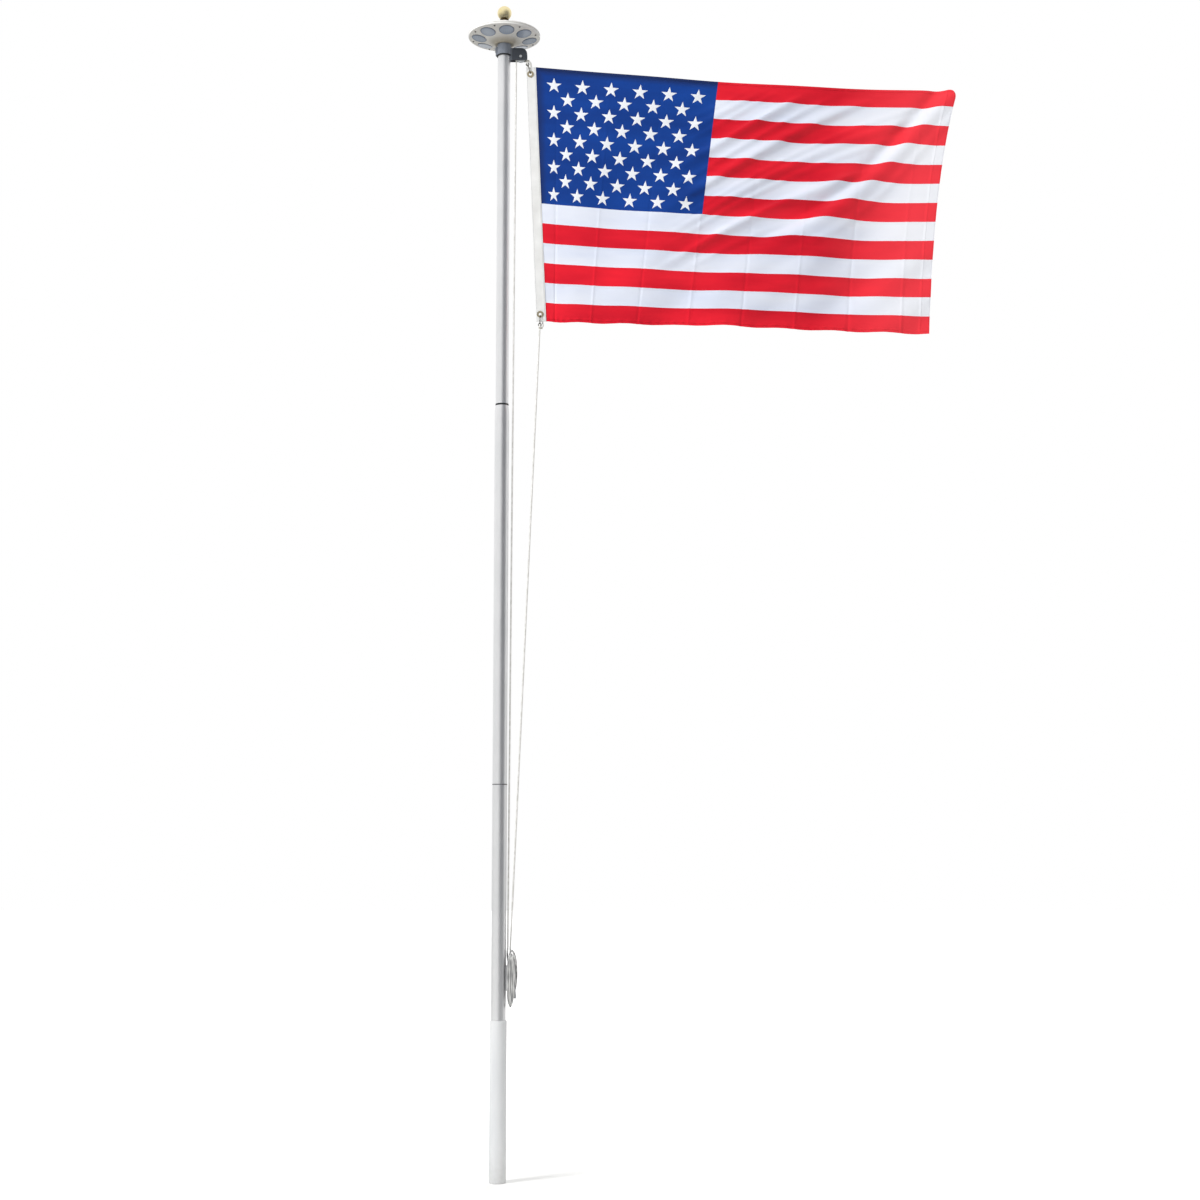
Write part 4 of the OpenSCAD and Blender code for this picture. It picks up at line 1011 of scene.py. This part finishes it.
for i, value in enumerate(thick.ravel()):
    group.add([i], float(value), "REPLACE")
chart = cloth.data.uv_layers[0]
chart.name = "cut_cloth"
which = np.zeros(len(cloth.data.loops), int)
cloth.data.loops.foreach_get("vertex_index", which)
chart.data.foreach_set("uv", np.stack([grid_across.ravel()[which], grid_down.ravel()[which]],
                                      1).ravel())
cloth.data.update()
wall = cloth.modifiers.new("thickness", "SOLIDIFY")
wall.thickness, wall.offset, wall.vertex_group = 1.4 * MM, 0, "thickness"
bpy.ops.object.modifier_apply(modifier="thickness")
bpy.ops.object.shade_smooth_by_angle(angle=math.radians(40))
print("cloth faces", len(cloth.data.polygons))

# %% [markdown]
# ## The cloth's pattern
# Thirteen stripes, seven red and six white, and a blue field as deep as seven of them. The
# pattern reads the cloth's own map, in metres along and down the cut cloth, so it creases
# with the cloth. Painted light pales the fly, painted shade darkens the field along its top and
# hoist edges, and painted light and shade run in long slanting bands over the folds. The
# weave's threads are drawn 0.6 mm wide, about twice as coarse as real ones, so it shows.

# %% Stripes, field and weave
THREAD_PAIR = 1.2 * MM    # one thread over and the next one under
nylon_map = add(nylon, "UVMap", {"uv_map": "cut_cloth"})
nylon_axes = add(nylon, "SeparateXYZ", {0: nylon_map})
nylon_u, nylon_v = nylon_axes.outputs[0], nylon_axes.outputs[1]
stripe_at = add(nylon, "Math", {"operation": "MULTIPLY_ADD", 0: nylon_v, 1: 1 / STRIPE,
                                2: 1 - TOP_STRIPE / STRIPE})
stripe_no = add(nylon, "Math", {"operation": "FLOOR", 0: stripe_at})
stripe_odd = add(nylon, "Math", {"operation": "MODULO", 0: stripe_no, 1: 2})
# Painted light and shade: a slanted noise makes each colour darker and lighter in long bands over
# the folds
fold_shade_map = add(nylon, "Mapping", {0: nylon_map, "Rotation": (0, 0, math.radians(-38)),
                                   "Scale": (0.7, 3.2, 1)})
folds = add(nylon, "TexNoise", {"Vector": fold_shade_map, "Scale": 3.2, "Detail": 3})
red, white, blue_bright = (
    add(nylon, "ValToRGB", {0: folds, "stops": [(0.3, dark), (0.7, light)]})
    for dark, light in (("#CE0C26", "#F21E32"), ("#DDE4F6", "#ECF0FB"), ("#063482", "#0C429A")))
stripes = add(nylon, "Mix", {"data_type": "RGBA", 0: stripe_odd, 6: red, 7: white})
# Painted light: the stripes grow paler towards the fly
fly_painted_light = add(nylon, "MapRange", {0: nylon_u, "From Min": 0.72 * FLY, "From Max": 0.95 * FLY,
                                "To Min": 0.0, "To Max": 0.65})
lit_stripes = add(nylon, "Mix", {"data_type": "RGBA", 0: stripe_odd,
                                  6: linear("#FF4650"), 7: linear("#FCFCFE")})
stripes_with_fly_light = add(nylon, "Mix", {"data_type": "RGBA", 0: fly_painted_light, 6: stripes.outputs[2],
                                   7: lit_stripes.outputs[2]})
in_field_u = add(nylon, "Math", {"operation": "LESS_THAN", 0: nylon_u, 1: CANTON_U})
in_field_v = add(nylon, "Math", {"operation": "LESS_THAN", 0: nylon_v, 1: CANTON_V})
in_field = add(nylon, "Math", {"operation": "MULTIPLY", 0: in_field_u, 1: in_field_v})
# Painted shade: the field is darker towards its top and its hoist edge
near_top = add(nylon, "MapRange", {0: nylon_v, "From Min": 4 * MM, "From Max": 30 * MM,
                                   "To Min": 1.0, "To Max": 0.0})
near_hoist = add(nylon, "MapRange", {0: nylon_u, "From Min": 4 * MM, "From Max": 34 * MM,
                                     "To Min": 0.8, "To Max": 0.0})
edge_shade = add(nylon, "Math", {"operation": "MAXIMUM", 0: near_top, 1: near_hoist})
blue = add(nylon, "Mix", {"data_type": "RGBA", 0: edge_shade, 6: blue_bright, 7: linear("#16295A")})
cloth_colour = add(nylon, "Mix", {"data_type": "RGBA", 0: in_field,
                                  6: stripes_with_fly_light.outputs[2], 7: blue.outputs[2]})
weave_u, weave_v = (
    add(nylon, "Math", {"operation": "SINE", 0: add(nylon, "Math", {
        "operation": "MULTIPLY", 0: way, 1: 2 * math.pi / THREAD_PAIR})})
    for way in (nylon_u, nylon_v))
weave = add(nylon, "Math", {"operation": "MULTIPLY", 0: weave_u, 1: weave_v})
into(nylon, Base_Color=cloth_colour.outputs[2],
     Normal=add(nylon, "Bump", {"Height": weave, "Strength": 0.12, "Distance": 0.1 * MM}))

# %% [markdown]
# ## The stars
# Fifty embroidered stars, nine rows of six and five by turns. A star lies on both faces of
# the cloth and bends with it, so its points are worked out in code: a ten-pointed outline in
# three sizes with a raised middle, each point moved by the same sums as the grid.

# %% Embroidery thread
STAR_R, STAR_WAIST = 29 * MM, 0.382
EMBROIDERY = 3.157 * MM   # from thread to thread, drawn coarse enough to show
BAND_STEP = math.pi / 10  # from band to band of a wave texture, at a scale of 1
thread_white = finish("white_embroidery_thread", "#F4F6FB", 0.5, Sheen_Weight=0.4)
thread_lines = add(thread_white, "TexWave", {
    "Vector": add(thread_white, "TexCoord", {}).outputs["Object"],
    "Scale": BAND_STEP / EMBROIDERY, "bands_direction": "X", "Distortion": 1.5, "Detail": 2})
thread_tint = add(thread_white, "ValToRGB", {0: thread_lines, "stops": [(0.2, "#E9EDF6"),
                                                                        (0.8, "#FAFBFE")]})
into(thread_white, Base_Color=thread_tint,
     Normal=add(thread_white, "Bump", {"Height": thread_lines, "Strength": 0.3,
                                       "Distance": 0.2 * MM}))

# %% Stars laid on the cloth
tips = [np.array([reach * math.sin(math.pi * i / 5), -reach * math.cos(math.pi * i / 5)])
        for i, reach in enumerate([STAR_R, STAR_R * STAR_WAIST] * 5)]
outline = np.array([p * (1 - t) + q * t for p, q in zip(tips, tips[1:] + tips[:1])
                    for t in (0, 0.5)])
FIRST_STAR = (65, 62.5)   # mm from the cloth's hoist edge and from its top
STAR_STEP = (52, 50.2)    # mm to the next column and to the next row
SHELLS = ((0.35, 1.1), (0.8, 1.0), (1.0, 0.45))       # share of the outline, height in mm
MIDDLE_HEIGHT = 1.15
ROUND = len(outline)
PER_FACE = 1 + len(SHELLS) * ROUND
star_points, star_faces = [], []
for row in range(9):
    for column in range(6 - row % 2):
        middle = np.array([FIRST_STAR[0] + (2 * column + row % 2) * STAR_STEP[0],
                           FIRST_STAR[1] + row * STAR_STEP[1]]) * MM
        base = len(star_points)
        for face in (1, -1):
            flat_points = np.concatenate([[middle]] + [middle + outline * s for s, _ in SHELLS])
            heights = np.repeat([MIDDLE_HEIGHT] + [h for _, h in SHELLS],
                                [1] + [ROUND] * len(SHELLS)) * MM
            way = cloth_way_out(flat_points[:, 0], flat_points[:, 1])
            laid = hung(flat_points[:, 0], flat_points[:, 1]) + face * heights[:, None] * way
            star_points += laid.tolist()
            foot = base if face == 1 else base + PER_FACE
            for k in range(ROUND):
                n = (k + 1) % ROUND
                spokes = [(foot, foot + 1 + k, foot + 1 + n)]
                for ring in range(1, 1 + (len(SHELLS) - 1) * ROUND, ROUND):
                    a0, b0 = foot + ring, foot + ring + ROUND
                    spokes.append((a0 + k, b0 + k, b0 + n, a0 + n))
                star_faces += [f if face == 1 else f[::-1] for f in spokes]
        front = base + PER_FACE - ROUND
        back = front + PER_FACE
        for k in range(ROUND):
            n = (k + 1) % ROUND
            star_faces.append((front + k, back + k, back + n, front + n))
stars = new_piece("flag_stars", star_points, star_faces, thread_white)
face_outwards(stars)
bpy.ops.object.shade_smooth_by_angle(angle=math.radians(50))
print("stars hold", len(star_faces), "faces")

# %% [markdown]
# ## The canvas heading
# A band of white cotton canvas, folded over the cloth's hoist edge and sewn through, carries
# the two brass grommets. It is a long plate with rounded edges, a little wavy, pierced for
# the grommets' barrels.

# %% Cotton canvas
CANVAS_YARN = 2.762 * MM  # from yarn to yarn, drawn coarse enough to show
canvas = finish("white_cotton_canvas", "#ECECEA", 0.85, Sheen_Weight=0.2)
canvas_place = add(canvas, "TexCoord", {}).outputs["Object"]
canvas_warp, canvas_weft = (
    add(canvas, "TexWave", {"Vector": canvas_place, "Scale": BAND_STEP / CANVAS_YARN,
                            "bands_direction": way}) for way in "XZ")
canvas_weave = add(canvas, "Math", {"operation": "ADD", 0: canvas_warp, 1: canvas_weft})
canvas_cloud = add(canvas, "TexNoise", {"Vector": canvas_place, "Scale": 22, "Detail": 5})
toned(canvas, canvas_cloud, "#E4E4E2", "#F1F1F0")
into(canvas, Normal=add(canvas, "Bump", {"Height": canvas_weave, "Strength": 0.25,
                                         "Distance": 0.2 * MM}))

# %% The band, pierced
GROMMET_HOLE_R = 6.2 * MM
BAND_THICK = 2.2 * MM


def heading_wave(down_share, out_share):
    """How far the band bends out of flat, from its shares down and across."""
    return 0.5 * MM * np.sin(23 * down_share) * math.sin(math.pi * out_share)


start()
bpy.ops.mesh.primitive_grid_add(x_subdivisions=8, y_subdivisions=120, size=1)
heading = settle("flag_heading_canvas", canvas)
for vertex in heading.data.vertices:
    out_share, down_share = vertex.co.x + 0.5, 0.5 - vertex.co.y
    spot = hoist_point(down_share * flag_hoist, out_share * heading_w)
    vertex.co = (spot[0], heading_wave(down_share, out_share), spot[1])
wall = heading.modifiers.new("thickness", "SOLIDIFY")
wall.thickness, wall.offset = BAND_THICK, 0
bpy.ops.object.modifier_apply(modifier="thickness")
soft = heading.modifiers.new("rounded", "BEVEL")
soft.width, soft.segments, soft.limit_method = 0.7 * MM, 2, "ANGLE"
bpy.ops.object.modifier_apply(modifier="rounded")
for node in ("upper_grommet", "lower_grommet"):
    start()
    bpy.ops.mesh.primitive_cylinder_add(vertices=40, radius=GROMMET_HOLE_R, depth=20 * MM,
                                        location=middle_of(node), rotation=(math.pi / 2, 0, 0))
    punch = bpy.context.object
    focus(heading)
    cut = heading.modifiers.new("punch", "BOOLEAN")
    cut.operation, cut.object = "DIFFERENCE", punch
    bpy.ops.object.modifier_apply(modifier="punch")
    bpy.data.objects.remove(punch)
bpy.ops.object.shade_smooth_by_angle(angle=math.radians(35))
print("heading faces", len(heading.data.polygons))

# %% [markdown]
# ## Stitching
# Lock stitches are short humps of thread in a row. One stitch is a six-sided bead that
# thins at its ends, and a row lays copies of it along a line of the cloth, on both faces.
# There are thousands, so they are made as one piece, and each bead has only 26 faces.

# %% Rows of stitches
STITCH = 4.2 * MM
THREAD_R = 0.45 * MM
BEAD = ((-0.5, 0.25), (-0.32, 0.95), (0.0, 1.1), (0.32, 0.95), (0.5, 0.25))
BEAD_SIDES = 6


def stitch_row(points, ways, outs):
    """Vertices and faces of stitches laid at points, along ways and proud along outs."""
    ring = BEAD_SIDES
    vertices, faces = [], []
    for place, way, rise in zip(points, ways, outs):
        side = np.cross(way, rise)
        base = len(vertices)
        for share, full in BEAD:
            for k in range(ring):
                a = 2 * math.pi * k / ring
                vertices.append(place + way * share * STITCH * 0.9
                                + side * math.cos(a) * THREAD_R * full
                                + rise * (math.sin(a) + 0.4) * THREAD_R * full)
        for s in range(len(BEAD) - 1):
            for k in range(ring):
                n = (k + 1) % ring
                foot = base + s * ring
                faces.append((foot + k, foot + ring + k, foot + ring + n, foot + n))
        faces.append(tuple(base + k for k in range(ring)))
        top = base + (len(BEAD) - 1) * ring
        faces.append(tuple(top + ring - 1 - k for k in range(ring)))
    return vertices, faces


def stitched(name, rows, material, chart=()):
    """All rows as one piece; chart holds each stitch's place on the cut cloth, if any."""
    vertices, faces = [], []
    for row in rows:
        more, walls = stitch_row(*row)
        base = len(vertices)
        vertices += [tuple(v) for v in more]
        faces += [tuple(i + base for i in f) for f in walls]
    piece = new_piece(name, vertices, faces, material)
    if len(chart):
        mesh = piece.data
        which = np.zeros(len(mesh.loops), int)
        mesh.loops.foreach_get("vertex_index", which)
        mesh.uv_layers.new(name="cut_cloth").data.foreach_set(
            "uv", np.asarray(chart)[which // (len(BEAD) * BEAD_SIDES)].ravel())
    face_outwards(piece)
    bpy.ops.object.shade_smooth()
    print(name, "has", len(faces), "faces")
    return piece


def cloth_row(across, down, height, face):
    """Stitch places along a line of the cloth, on one face of it."""
    across, down = np.broadcast_arrays(across, down)
    place = hung(across, down)
    way = np.gradient(place, axis=0)
    way /= np.linalg.norm(way, axis=1)[:, None]
    out = cloth_way_out(across, down) * face
    out -= way * (out * way).sum(1)[:, None]
    out /= np.linalg.norm(out, axis=1)[:, None]
    return place + out * height, way, out


def heading_row(at, face):
    """Stitch places down the canvas band, at a distance from its hoist edge."""
    down = np.arange(4 * MM, flag_hoist - 4 * MM, STITCH)
    places = np.array([flat(hoist_point(d, at)) for d in down])
    way = places[1] - places[0]
    way /= np.linalg.norm(way)
    places[:, 1] = heading_wave(down / flag_hoist, at / heading_w) - face * BAND_THICK / 2
    return places, np.tile(way, (len(down), 1)), np.tile([0, -face, 0.0], (len(down), 1))


# %% Sewing threads: grey on the band, and darker than its own stripe on the cloth
thread = finish("polyester_sewing_thread", "#C9CBD0", 0.5, Sheen_Weight=0.2)
sewing_twist = add(thread, "TexNoise", {"Vector": add(thread, "TexCoord", {}).outputs["Object"],
                                        "Scale": 1500, "Detail": 1})
toned(thread, sewing_twist, "#B4B7BE", "#DCDEE2")
# The copy keeps the cloth's painted light at the fly and painted shade over its folds and field
# edges
matching = nylon.copy()
matching.name = "matching_sewing_thread"
for node in matching.node_tree.nodes:
    if node.type == "VALTORGB":
        for stop in node.color_ramp.elements:
            stop.color = [c * 0.6 for c in stop.color[:3]] + [1]

# %% The rows sewn
long_way = np.arange(6 * MM, FLY - 4 * MM, STITCH)
tall_way = np.arange(6 * MM, flag_hoist - 4 * MM, STITCH)
hem_lines = [(FLY - inset + 0 * tall_way, tall_way) for inset in (4 * MM, 31 * MM)]
hem_lines += [(long_way, down + 0 * long_way) for down in (9 * MM, flag_hoist - 9 * MM)]
hem_rows = [cloth_row(*line, 0.75 * MM, face) for line in hem_lines for face in (1, -1)]
hem_chart = [place for line in hem_lines for face in (1, -1) for place in zip(*line)]
hem_stitches = stitched("hem_stitches", hem_rows, matching, hem_chart)
heading_rows = [heading_row(at, face) for at in (3 * MM, 30.5 * MM) for face in (1, -1)]
heading_stitches = stitched("heading_stitches", heading_rows, thread)

# %% Attach the flag's pieces to the pole
for piece, slot in ((cloth, "flag_nylon"), (stars, "flag_nylon"), (hem_stitches, "flag_nylon"),
                    (heading, "canvas"), (heading_stitches, "canvas")):
    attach(piece, "pole")
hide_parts("flag_cloth")
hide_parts("flag_heading")
